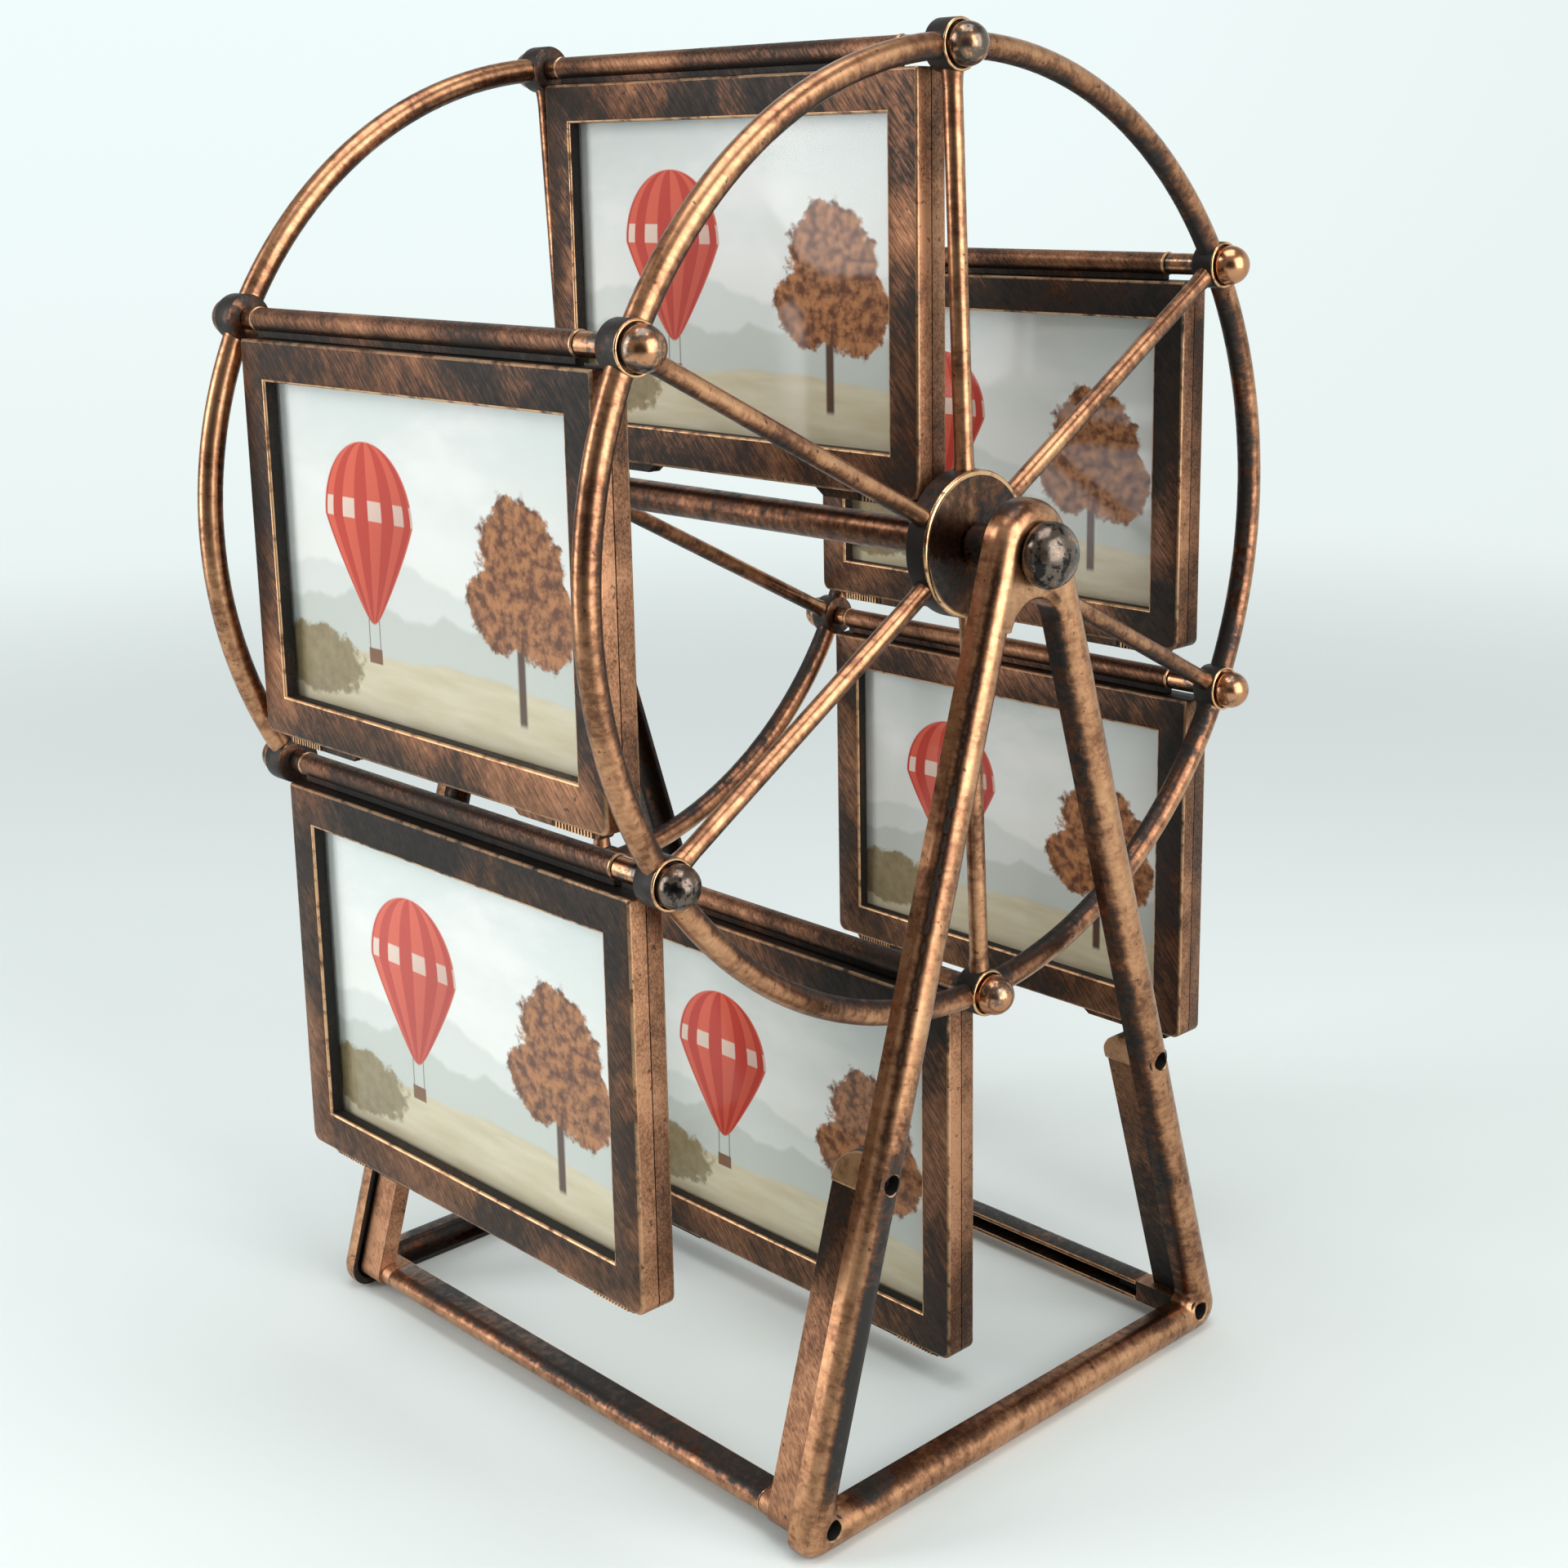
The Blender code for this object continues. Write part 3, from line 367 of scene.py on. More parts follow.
def add_piece(node, mesh, look, body, rule=None, axis=None, name=None):
    """Links a mesh as the piece that rides on a body in place of a CAD node. Look is (material, slot); the
    slot is not used.
    """
    material, slot = look
    mesh.materials.clear()
    mesh.materials.append(material)
    mesh.shade_smooth()
    mesh.set_sharp_from_angle(angle=SMOOTH_BELOW)
    if rule:
        paint(mesh, rule, axis)
    piece = in_scene(name or f"{node}_look", mesh)
    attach(piece, body)
    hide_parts(node)


def plain(place, normal):
    """The rule of a piece that has no shade but its faces' own tint."""
    return 0.0


# Materials


class Wire:
    """An output in a node graph. Arithmetic with it adds the nodes that do the sum."""

    def __init__(self, graph, socket):
        self.graph, self.socket = graph, socket

    def __add__(self, other):
        return self.graph.math("ADD", self, other)

    def __sub__(self, other):
        return self.graph.math("SUBTRACT", self, other)

    def __rsub__(self, other):
        return self.graph.math("SUBTRACT", other, self)

    def __mul__(self, other):
        return self.graph.math("MULTIPLY", self, other)

    def __truediv__(self, other):
        return self.graph.math("DIVIDE", self, other)

    __radd__, __rmul__ = __add__, __mul__


class Graph:
    """The nodes of a material or a world, with short calls for the common kinds."""

    def __init__(self, owner):
        owner.use_nodes = True
        self.owner, self.tree = owner, owner.node_tree
        self.shader = self.tree.nodes.get("Principled BSDF")

    def node(self, kind, inputs=(), **settings):
        made = self.tree.nodes.new(kind)
        for key, value in settings.items():
            setattr(made, key, value)
        for key, value in dict(inputs).items():
            self.feed(made.inputs[key], value)
        return made

    def wire(self, kind, inputs=(), output=0, **settings):
        return Wire(self, self.node(kind, inputs, **settings).outputs[output])

    def feed(self, socket, value):
        if isinstance(value, Wire):
            self.tree.links.new(value.socket, socket)
        else:
            socket.default_value = value

    def set(self, **values):
        """Feeds the shader's sockets. Underscores stand for the spaces in their names."""
        for key, value in values.items():
            self.feed(self.shader.inputs[key.replace("_", " ")], value)

    def math(self, operation, one, other=0.0, clamp=False):
        return self.wire("ShaderNodeMath", {0: one, 1: other}, operation=operation, use_clamp=clamp)

    def length(self, x, y):
        return self.math("SQRT", x * x + y * y)

    def ramp(self, value, low, high, to_low=0.0, to_high=1.0):
        """A smooth step of the value between two limits."""
        inputs = {0: value, 1: low, 2: high, 3: to_low, 4: to_high}
        return self.wire("ShaderNodeMapRange", inputs, interpolation_type="SMOOTHSTEP")

    def swing(self, noise):
        """A noise that is spread out to run from -0.5 to 0.5."""
        return self.ramp(noise, 0.3, 0.7, -0.5, 0.5)

    def mix(self, factor, one, other):
        return self.wire("ShaderNodeMix", {0: factor, 6: one, 7: other}, 2, data_type="RGBA")

    def scale(self, value, stops):
        """A colour scale. Stops lists (value, red, green, blue)."""
        low, high = stops[0][0], stops[-1][0]
        made = self.node("ShaderNodeValToRGB", {0: (value - low) / (high - low)})
        marks = made.color_ramp.elements
        for extra in stops[2:]:
            marks.new(0.5)
        for mark, (level, *colour) in zip(marks, stops):
            mark.position, mark.color = (level - low) / (high - low), (*colour, 1)
        return Wire(self, made.outputs[0])

    def attribute(self, name, output="Fac"):
        return self.wire("ShaderNodeAttribute", output=output, attribute_name=name)

    def place(self):
        return self.wire("ShaderNodeTexCoord", output="Object")

    def mapped(self, vector, rotation=(0, 0, 0), scale=(1, 1, 1), location=(0, 0, 0)):
        inputs = {"Vector": vector, "Rotation": rotation, "Scale": scale, "Location": location}
        return self.wire("ShaderNodeMapping", inputs)

    def noise(self, vector, scale, detail=2.0, roughness=0.5, distortion=0.0):
        inputs = {"Vector": vector, "Scale": scale, "Detail": detail, "Roughness": roughness}
        return self.wire("ShaderNodeTexNoise", {**inputs, "Distortion": distortion})

    def bump(self, height, strength, distance):
        return self.wire("ShaderNodeBump", {"Height": height, "Strength": strength, "Distance": distance})


COPPER_BRIGHT = (0.82, 0.5, 0.27, 1)
COPPER = (0.52, 0.255, 0.135, 1)
PEWTER = (0.14, 0.11, 0.09, 1)
PATINA = (0.02, 0.017, 0.015, 1)
STEEL_DARK, STEEL_PALE = (0.05, 0.047, 0.045, 1), (0.14, 0.13, 0.12, 1)
FACE_TONES = (
    (-0.5, 0.46, 0.235, 0.13),
    (-0.1, 0.25, 0.118, 0.064),
    (0.18, 0.13, 0.064, 0.038),
    (0.45, 0.045, 0.029, 0.022),
    (0.8, 0.016, 0.014, 0.012),
)
TUBE_TONES = (
    (-0.5, 0.65, 0.37, 0.2),
    (-0.1, 0.46, 0.23, 0.122),
    (0.2, 0.2, 0.092, 0.052),
    (0.45, 0.075, 0.042, 0.03),
    (0.62, 0.02, 0.017, 0.015),
)


def antique_copper(name, tones, stroke_turn, stroke_size, patch_scale, weights, gloss, metal):
    """Copper paint, brushed over black. Stroke_size is (length, width) of a stroke, stroke_turn its slant.

    The mesh attributes shade and worn say where the black base, painted shade and painted light show and
    where edges are rubbed bright, and brush is the place that the strokes are taken from. Weights are those
    of strokes, patches and blots.
    """
    g = Graph(bpy.data.materials.new(name))
    place = g.place()
    worn = g.attribute("worn")
    slanted = g.mapped(g.attribute("brush", "Vector"), stroke_turn)
    length, width = stroke_size
    strokes = g.noise(g.mapped(slanted, scale=(1 / length, 1 / width, 1 / width)), 1.0, 3.0, 0.62, 0.25)
    patches = g.noise(place, patch_scale, 4.0, 0.6, 0.5)
    blots = g.noise(place, 430.0, 3.0, 0.62, 0.4)
    load = g.attribute("shade")
    for weight, field in zip(weights, (strokes, patches, blots)):
        load += g.swing(field) * weight
    load += worn * -0.4
    black = g.ramp(load, 0.35, 0.62)
    rubbed = g.math("MULTIPLY", worn, g.ramp(g.noise(place, 260.0, 3.0), 0.3, 0.55), clamp=True)
    flecks = g.ramp(g.noise(place, 640.0, 2.0, 0.5), 0.66, 0.74)
    colour = g.mix(rubbed * 0.8, g.scale(load, tones), COPPER_BRIGHT)
    grain = g.noise(g.mapped(slanted, scale=(0.5 / length, 3 / width, 3 / width)), 1.0, 2.0)
    g.set(
        Base_Color=g.mix(flecks * 0.7, colour, PATINA),
        Metallic=g.ramp(black, 0.0, 1.0, metal, 0.3),
        Specular_IOR_Level=0.3,
        Roughness=gloss + blots * 0.14 + black * 0.16 + rubbed * -0.08,
        Normal=g.bump(black * -0.5 + grain * 0.35 + blots * 0.6, 0.3, 0.08 * MM),
    )
    return g.owner


def polished_bronze(name):
    """Polished balls: pewter where shade is high, copper where it is low, with speckles of the other."""
    g = Graph(bpy.data.materials.new(name))
    place = g.place()
    cloud = g.swing(g.noise(place, 190.0, 4.0, 0.62, 0.5))
    speckle = g.noise(place, 800.0, 2.0, 0.7)
    load = g.attribute("shade") + cloud * 0.7 + (speckle - 0.5) * 0.9
    dark, black = g.ramp(load, 0.25, 0.6), g.ramp(load, 0.75, 1.0)
    g.set(
        Base_Color=g.mix(black, g.mix(dark, COPPER, PEWTER), PATINA),
        Metallic=g.ramp(dark, 0.0, 1.0, 1.0, 0.85),
        Roughness=0.14 + speckle * 0.18,
        Normal=g.bump(cloud * 0.5 + speckle * 0.4, 0.25, 0.1 * MM),
    )
    return g.owner


def blackened_steel(name):
    g = Graph(bpy.data.materials.new(name))
    grain = g.noise(g.place(), 1500.0, 3.0)
    g.set(Base_Color=g.mix(grain, STEEL_DARK, STEEL_PALE), Metallic=0.9, Roughness=0.3 + grain * 0.25)
    return g.owner


def clear_sheet(name):
    """Clear film: a faint mirror that grows towards grazing angles, and clear otherwise."""
    g = Graph(bpy.data.materials.new(name))
    haze = g.noise(g.place(), 24.0, 2.0)
    slant = g.wire("ShaderNodeLayerWeight", {"Blend": 0.5}, "Facing")
    g.set(Base_Color=(0.95, 0.97, 0.97, 1), Metallic=1.0, Roughness=0.03 + haze * 0.08)
    g.set(Alpha=0.007 + g.math("POWER", slant, 4.0) * 0.5)
    return g.owner


class Picture:
    """Masks of a printed picture, in the print's own u and v."""

    def __init__(self, g):
        self.g = g
        self.vector = g.wire("ShaderNodeUVMap", uv_map="print")
        parts = g.node("ShaderNodeSeparateXYZ", {0: self.vector}).outputs
        self.u, self.v = Wire(g, parts[0]), Wire(g, parts[1])
        self.aspect = (CARD_HIGH.x - CARD_LOW.x) / (CARD_HIGH.z - CARD_LOW.z)
        self.even = g.mapped(self.vector, scale=(self.aspect, 1, 1))

    def blob(self, centre, radii, softness, ragged=0.0, grain=6.0):
        """A mask that is 1 inside an ellipse, with a ragged edge if asked."""
        distance = self.g.length((self.u - centre[0]) / radii[0], (self.v - centre[1]) / radii[1])
        if ragged:
            distance += (self.g.noise(self.even, grain, 5.0, 0.65) - 0.5) * ragged
        return self.g.ramp(distance, 1 + softness, 1 - softness)

    def below(self, height, roll, scale, softness):
        """A mask of the ground under a rolling skyline."""
        along = self.g.mapped(self.vector, scale=(scale, 0, 0), location=(height, 0, 0))
        skyline = (self.g.noise(along, 1.0, 3.0) - 0.5) * roll + height
        return self.g.ramp(self.v - skyline, softness, -softness)

    def band(self, socket, middle, half, softness):
        distance = self.g.math("ABSOLUTE", socket - middle)
        return self.g.ramp(distance, half + softness, half - softness)


BALLOON_CENTRE, BALLOON_RADIUS = (0.31, 0.6), 0.215


def balloon(p, colour):
    """A striped hot-air balloon with its basket, drawn over the colour."""
    g = p.g
    x = (p.u - BALLOON_CENTRE[0]) / BALLOON_RADIUS * p.aspect
    y = (p.v - BALLOON_CENTRE[1]) / BALLOON_RADIUS
    taper = g.math("MAXIMUM", g.math("MINIMUM", y, 0.0) * 0.46 + 1.0, 0.15)
    x_fit, y_fit = x / taper, y / g.ramp(y, -0.02, 0.02, 1.36, 1.0)
    bulge = g.math("SQRT", g.math("MAXIMUM", 1.0 - y_fit * y_fit, 0.02))
    stripe = g.math("SINE", g.math("ARCSINE", x_fit / bulge) * 10.0)
    silk = g.mix(g.ramp(stripe, -0.15, 0.15), (0.62, 0.05, 0.028, 1), (0.8, 0.13, 0.07, 1))
    silk = g.mix(p.band(y, 0.12, 0.13, 0.01) * g.ramp(stripe, -0.1, 0.1), silk, (0.9, 0.72, 0.6, 1))
    silk = g.mix(g.ramp(x_fit - y_fit, -1.2, 1.3) * 0.4, silk, (0.3, 0.02, 0.012, 1))
    colour = g.mix(g.ramp(g.length(x_fit, y_fit), 1.015, 0.985), colour, silk)
    ropes = p.band(g.math("ABSOLUTE", x), 0.12, 0.012, 0.008) * p.band(y, -1.5, 0.2, 0.01)
    colour = g.mix(ropes * 0.7, colour, (0.12, 0.06, 0.04, 1))
    basket = p.band(x, 0.0, 0.15, 0.012) * p.band(y, -1.78, 0.1, 0.012)
    return g.mix(basket, colour, (0.22, 0.1, 0.045, 1))


# Hills from far to near: height, roll, scale and softness of the skyline, how much they cover, and colour
HILLS = (
    (0.46, 0.3, 3.0, 0.012, 0.55, (0.66, 0.71, 0.68, 1)),
    (0.36, 0.26, 4.5, 0.01, 0.7, (0.56, 0.6, 0.54, 1)),
)
# Parts of the tree's crown: centre and radii
CROWN = (((0.79, 0.52), (0.13, 0.2)), ((0.72, 0.43), (0.09, 0.12)), ((0.87, 0.42), (0.08, 0.13)))


def printed_landscape(name):
    """A photo print: misty hills, a rust-brown tree and a red balloon, under the gloss of photo paper."""
    g = Graph(bpy.data.materials.new(name))
    p = Picture(g)
    cloud = g.noise(g.mapped(p.vector, scale=(1.6, 2.6, 1)), 1.6, 4.0, 0.55)
    sky = g.mix(g.ramp(p.v, 0.3, 1.0), (0.93, 0.93, 0.88, 1), (0.8, 0.86, 0.83, 1))
    colour = g.mix(g.ramp(cloud, 0.42, 0.68), sky, (0.95, 0.96, 0.93, 1))
    for height, roll, scale, softness, cover, hill in HILLS:
        colour = g.mix(p.below(height, roll, scale, softness) * cover, colour, hill)
    grass = g.noise(g.mapped(p.vector, scale=(3, 14, 1)), 2.0, 5.0)
    meadow = g.mix(grass, (0.56, 0.46, 0.26, 1), (0.82, 0.77, 0.6, 1))
    colour = balloon(p, g.mix(p.below(0.22, 0.12, 2.2, 0.008), colour, meadow))
    trunk = p.band(p.u, 0.785, 0.011, 0.004) * g.ramp(p.v, 0.5, 0.42) * g.ramp(p.v, 0.12, 0.14)
    colour = g.mix(trunk, colour, (0.1, 0.05, 0.03, 1))
    leaf = g.noise(p.even, 26.0, 4.0, 0.6)
    leaves = g.mix(g.ramp(leaf, 0.35, 0.65), (0.13, 0.04, 0.016, 1), (0.52, 0.22, 0.08, 1))
    for centre, radii in CROWN:
        colour = g.mix(p.blob(centre, radii, 0.06, 0.9, 12.0), colour, leaves)
    bush = g.mix(leaf, (0.16, 0.13, 0.06, 1), (0.46, 0.36, 0.2, 1))
    colour = g.mix(p.blob((0.1, 0.17), (0.16, 0.1), 0.08, 0.9, 14.0), colour, bush)
    edges = 1.0 - p.blob((0.5, 0.5), (0.85, 0.85), 0.35)
    fibre = g.noise(p.vector, 900.0, 2.0)
    g.set(
        Base_Color=g.mix(edges * 0.3, colour, (0.5, 0.52, 0.48, 1)),
        Roughness=0.42 + fibre * 0.12,
        Specular_IOR_Level=0.25,
        Normal=g.bump(fibre, 0.05, 0.02 * MM),
    )
    return g.owner


# Wheels


def wheel_mesh():
    """The near wheel about the axle: rim, spokes, barrels with their cups, and the hub."""
    part = Moulding()
    section = circle((WHEEL_X, NODE_RADIUS), RIM_RADIUS, ROUND_STEPS)
    turns = spread(0, FULL, RIM_STEPS)[:-1]
    part.loft([[(x, r * cos(t), r * sin(t)) for x, r in section] for t in turns], joined=True)
    lip = (BARREL_RADIUS - CUP_RADIUS) / 2
    floor_x = BARREL_OUTER_X - CUP_DEPTH
    barrel = [
        (BARREL_INNER_X, NECK_RADIUS + GAP),
        (BARREL_INNER_X, BARREL_RADIUS - 0.5 * MM),
        (BARREL_INNER_X + 0.15 * MM, BARREL_RADIUS - 0.15 * MM),
        (BARREL_INNER_X + 0.5 * MM, BARREL_RADIUS),
        *arc((BARREL_OUTER_X - lip, BARREL_RADIUS - lip), lip, QUARTER, -QUARTER, 6),
        (floor_x + 0.2 * MM, CUP_RADIUS),
        (floor_x, CUP_RADIUS - 0.2 * MM),
        (floor_x, NECK_RADIUS + GAP),
    ]
    radii = [(share, SPOKE_RADIUS + flare) for share, flare in SPOKE_FLARE]
    radii += [(share, SPOKE_RADIUS) for share in spread(0, 1, 12)[1:-1]]
    radii += [(1 - share, SPOKE_RADIUS + flare) for share, flare in reversed(SPOKE_FLARE)]
    middle = Vector((WHEEL_X, 0, 0))
    for turn in NODE_TURNS:
        centre = (NODE_RADIUS * cos(turn), NODE_RADIUS * sin(turn))
        part.turned(barrel, 48, centre, tint=0.5, worn=dict.fromkeys(range(4, 10), 1.4), joined=True)
        start = middle + (HUB_RADIUS - 1.5 * MM) * outward(turn)
        end = middle + (NODE_RADIUS - BARREL_RADIUS + 1 * MM) * outward(turn)
        part.loft(rod_rings(start, end, radii, ROUND_STEPS))
    bevel_radius = HUB_RADIUS - HUB_BEVEL
    hub = [
        (BARREL_INNER_X, AXLE_TUBE_RADIUS + GAP),
        *arc((BARREL_INNER_X + HUB_BEVEL, bevel_radius), HUB_BEVEL, pi, QUARTER, 4),
        *arc((BARREL_OUTER_X - HUB_BEVEL, bevel_radius), HUB_BEVEL, QUARTER, 0, 5),
        (BARREL_OUTER_X, HUB_RADIUS - 1.3 * MM),
        (BARREL_OUTER_X - HUB_DISH, HUB_RADIUS - 1.7 * MM),
        (BARREL_OUTER_X - HUB_DISH, BOSS_RADIUS + 1.5 * MM),
        (BARREL_OUTER_X - HUB_DISH, SHAFT_RADIUS + GAP),
    ]
    part.turned(hub, 112, worn=dict.fromkeys(range(6, 12), 1.5), joined=True)
    return part.mesh("wheel")


def wheel_axis(place):
    """The middle of the rim or spoke at a place. Over the hub it is a circle, so strokes run outwards."""
    turn = atan2(place.z, place.y)
    distance = hypot(place.y, place.z)
    middle = Vector((WHEEL_X, 0, 0))
    if distance < HUB_RADIUS + 0.5 * MM:
        return Vector((BARREL_OUTER_X, 0, 0)) + 0.72 * HUB_RADIUS * outward(turn)
    if distance > NODE_RADIUS - RIM_RADIUS - 0.3 * MM:
        return middle + NODE_RADIUS * outward(turn)
    along = outward(min(NODE_TURNS, key=lambda t: abs(remainder(t - turn, FULL))))
    return middle + place.dot(along) * along


def wheel_rule(place, normal):
    """The black base shows on the rim's inner side and round hub and barrels. The spokes get painted shade
    underneath.
    """
    radial = Vector((0, place.y, place.z))
    distance = radial.length
    if distance < 1e-6:
        return 0.5
    across = normal.y * radial.y / distance + normal.z * radial.z / distance
    if distance < HUB_RADIUS + 0.5 * MM:
        if abs(across) > 0.5:
            return 0.8
        # The hub's face is darker in one patch and paler in another.
        dark, worn = (patch(place.y, place.z, spot) for spot in (HUB_DARK_PATCH, HUB_PALE_PATCH))
        return 0.38 + 0.5 * dark - 0.8 * worn
    for turn in NODE_TURNS:
        gap = (radial - NODE_RADIUS * outward(turn)).length
        on_barrel = gap < BARREL_RADIUS + 0.05 * MM and distance > NODE_RADIUS - BARREL_RADIUS - 0.1 * MM
        if on_barrel and abs(normal.x) < 0.6:
            if abs(place.x - WHEEL_X) > RIM_RADIUS * 0.98 or abs(gap - BARREL_RADIUS) < 0.05 * MM:
                return 0.7
    if distance > NODE_RADIUS - RIM_RADIUS - 0.1 * MM:
        return -0.05 + max(0.0, 0.1 - across) * 0.6
    # Painted shade: spokes are darker on the sides that face down, as the wheel stands at rest.
    return -0.05 + max(0.0, -normal.z) * 0.6


def axle_tube_mesh():
    end = BARREL_INNER_X + 2.7 * MM
    profile = [(x, AXLE_TUBE_RADIUS) for x in spread(-end, end, 16)]
    return Moulding().turned(profile, 40, tint=0.3).mesh("axle_tube")


def ball_profile(flat_x, stand, radius, reach, steps):
    """Half an oval from a flat at its foot to its top, as (x, radius). Stand is how far its middle is out."""
    start = acos(-stand / reach)
    turns = spread(start, 0, steps)[:-1] + [start / steps / 4]
    return [(flat_x + stand + reach * cos(t), radius * sin(t)) for t in turns]


def ball_pin_mesh(tip_x, hanger_end_x, tint):
    """A frame's pin: ball, neck, the collar between barrel and hanging tube, and the tip inside the tube."""
    flat_x = PIN_END_X - BALL_STAND - BALL_RADIUS
    start, end = hanger_end_x + GAP, BARREL_INNER_X - GAP
    edge = 0.25 * MM
    collar = [(start, COLLAR_RADIUS - edge), (start + edge, COLLAR_RADIUS)]
    collar += [(end - edge, COLLAR_RADIUS), (end, COLLAR_RADIUS - edge)]
    shaft = [(tip_x, TIP_RADIUS), (start, TIP_RADIUS), *collar, (end, NECK_RADIUS), (flat_x, NECK_RADIUS)]
    part = Moulding().turned(shaft, 32, tint=0.5, worn={2: 1.0})
    ball = ball_profile(flat_x, BALL_STAND, BALL_RADIUS, BALL_RADIUS, 18)
    return part.turned(ball, 40, tint=tint).mesh("ball_pin")


def axle_pin_mesh():
    flat_x = AXLE_PIN_END_X - AXLE_BALL_STAND - AXLE_BALL_REACH * sqrt(1 - 0.15**2)
    part = Moulding().turned([(AXLE_PIN_START_X, SHAFT_RADIUS), (flat_x, SHAFT_RADIUS)], 24, tint=0.6)
    dome = ball_profile(flat_x, AXLE_BALL_STAND, AXLE_BALL_RADIUS, AXLE_BALL_REACH, 24)
    return part.turned(dome, 56, tint=0.82).mesh("axle_pin")


# Picture frames


def rounded_corner(k, half_width, top, bottom, radius, steps):
    """The (x, z) points of a rectangle's corner, clockwise. Corners count so too, from the upper right."""
    hand, up = ((1, 1), (1, -1), (-1, -1), (-1, 1))[k]
    centre = (hand * (half_width - radius), (top if up > 0 else bottom) - up * radius)
    return arc(centre, radius, QUARTER * (1 - k), -QUARTER * k, steps)


def bezel_stations():
    """Pairs of outer and inner (x, z) points round the bezel, with arcs at the corners."""
    stations = []
    for k, radius in enumerate((UPPER_CORNER, LOWER_CORNER, LOWER_CORNER, UPPER_CORNER)):
        outer = rounded_corner(k, FRAME_HALF_WIDTH, FRAME_TOP, FRAME_BOTTOM, radius, 5)
        inner = rounded_corner(k, OPENING_HALF_WIDTH, OPENING_TOP, OPENING_BOTTOM, OPENING_CORNER, 5)
        stations += zip(outer, inner)
    return stations


def bezel_section(side):
    """Section of the bezel, as (share of the way from its outer side to the opening, y)."""
    width, back = FRAME_HALF_WIDTH - OPENING_HALF_WIDTH, FRAME_FACE - FRAME_WALL
    outside = [(0, SEAM)] + arc((FACE_BEVEL, FRAME_FACE - FACE_BEVEL), FACE_BEVEL, pi, QUARTER, 3)
    inside = arc((-OPENING_BEVEL, FRAME_FACE - OPENING_BEVEL), OPENING_BEVEL, QUARTER, 0, 3)
    rest = SLEEVE_FACE + 0.2 * MM
    inside += [(0, rest), (-FRAME_WALL, rest), (-FRAME_WALL, back)]
    section = [(d / width, y) for d, y in outside] + [(1 + d / width, y) for d, y in inside]
    section += [(FRAME_WALL / width, back), (FRAME_WALL / width, SEAM)]
    return [(share, side * y) for share, y in section]


def shell_mesh(side):
    """One half shell of a frame, about its pivot. Side is -1 in front and 1 behind."""
    section = bezel_section(side)
    rings = []
    for (x, z), (inner_x, inner_z) in bezel_stations():
        rings.append([(x + share * (inner_x - x), y, z + share * (inner_z - z)) for share, y in section])
    part = Moulding().loft(rings, joined=True, worn=BEZEL_WEAR)
    add_lugs(part, side)
    if side > 0:
        add_hanger(part)
    return part.mesh("front_shell" if side < 0 else "rear_shell")


def add_lugs(part, side):
    """The two thumb lugs under a half shell, with their grip ribs and, beside them, a thin black strip of
    painted shade for a slit.
    """
    outer_end, inner_end = LUG_OUTER_X, LUG_OUTER_X - LUG_LENGTH
    top, bottom = FRAME_BOTTOM + 0.7 * MM, LUG_BOTTOM
    far = side * LUG_THICKNESS
    outline = [
        (inner_end - LUG_SLOPE, top),
        (inner_end, bottom + LUG_EDGE),
        (inner_end + 0.4 * MM, bottom),
        (outer_end - 0.4 * MM, bottom),
        (outer_end, bottom + LUG_EDGE),
        (outer_end + LUG_SLOPE / 2, top),
    ]
    drawn_in = [(x, z + 0.25 * MM if z < top else z) for x, z in outline]
    layers = ((side * GAP, outline), (far - side * LUG_EDGE, outline), (far, drawn_in))

    def strip(hand, step, half_width, start, end, **finish):
        """An upright box on the lug's face, some rib steps in, from one depth over it to another."""
        x = hand * (outer_end - 2 * MM - step * LUG_RIB_PITCH)
        low_y, high_y = sorted((far + side * start, far + side * end))
        low = (x - half_width, low_y, bottom + LUG_EDGE)
        part.loft(box_rings(low, (x + half_width, high_y, FRAME_BOTTOM + LUG_EDGE)), **finish)

    for hand in (-1, 1):
        part.loft([[(hand * x, y, z) for x, z in shape] for y, shape in layers], tint=0.35)
        for rib in range(LUG_RIBS):
            strip(hand, rib, 0.27 * MM, -0.1 * MM, 0.55 * MM, worn=dict.fromkeys(range(4), 1.0))
        # Painted shade: a thin black strip stands for the shadow in a slit beside the ribs.
        strip(hand, LUG_RIBS + 0.6, 0.5 * MM, 0, 0.06 * MM, tint=1.0)


def add_hanger(part):
    """The tube that a frame hangs by, with a ring at each end, and the web that joins it to the frame."""
    edge, bore, waist = 0.3 * MM, TIP_RADIUS + GAP, HANGER_RADIUS - 0.18 * MM
    end = [
        (HANGER_BORE_DEPTH, bore),
        (0, bore),
        (0, HANGER_RADIUS - edge),
        (edge, HANGER_RADIUS),
        (END_RING, HANGER_RADIUS),
        (END_RING + 0.2 * MM, waist),
    ]
    inset = END_RING + 0.5 * MM
    profile = [(HANGER_FAR_X + depth, radius) for depth, radius in end]
    profile += [(x, waist) for x in spread(HANGER_FAR_X + inset, HANGER_NEAR_X - inset, 12)]
    profile += [(HANGER_NEAR_X - depth, radius) for depth, radius in reversed(end)]
    last = len(profile) - 4
    part.turned(profile, 36, tint=0.12, worn=dict.fromkeys((2, 3, 4, last - 2, last - 1, last), 1.0))
    half, top = HANGER_WEB / 2, -HANGER_RADIUS + 0.5 * MM
    seat, under = FRAME_TOP + GAP, FRAME_TOP - FRAME_WALL
    web = [(-half, top), (-half, seat), (half, seat), (half, top)]
    foot = [(GAP, seat), (GAP, under), (half, under), (half, seat)]
    # Painted shade: the web and its foot are dark, for the shadow between the tube and the frame.
    for outline in (web, foot):
        part.loft(prism_x(outline, HANGER_FAR_X + 1 * MM, HANGER_NEAR_X - 1 * MM), tint=0.62)


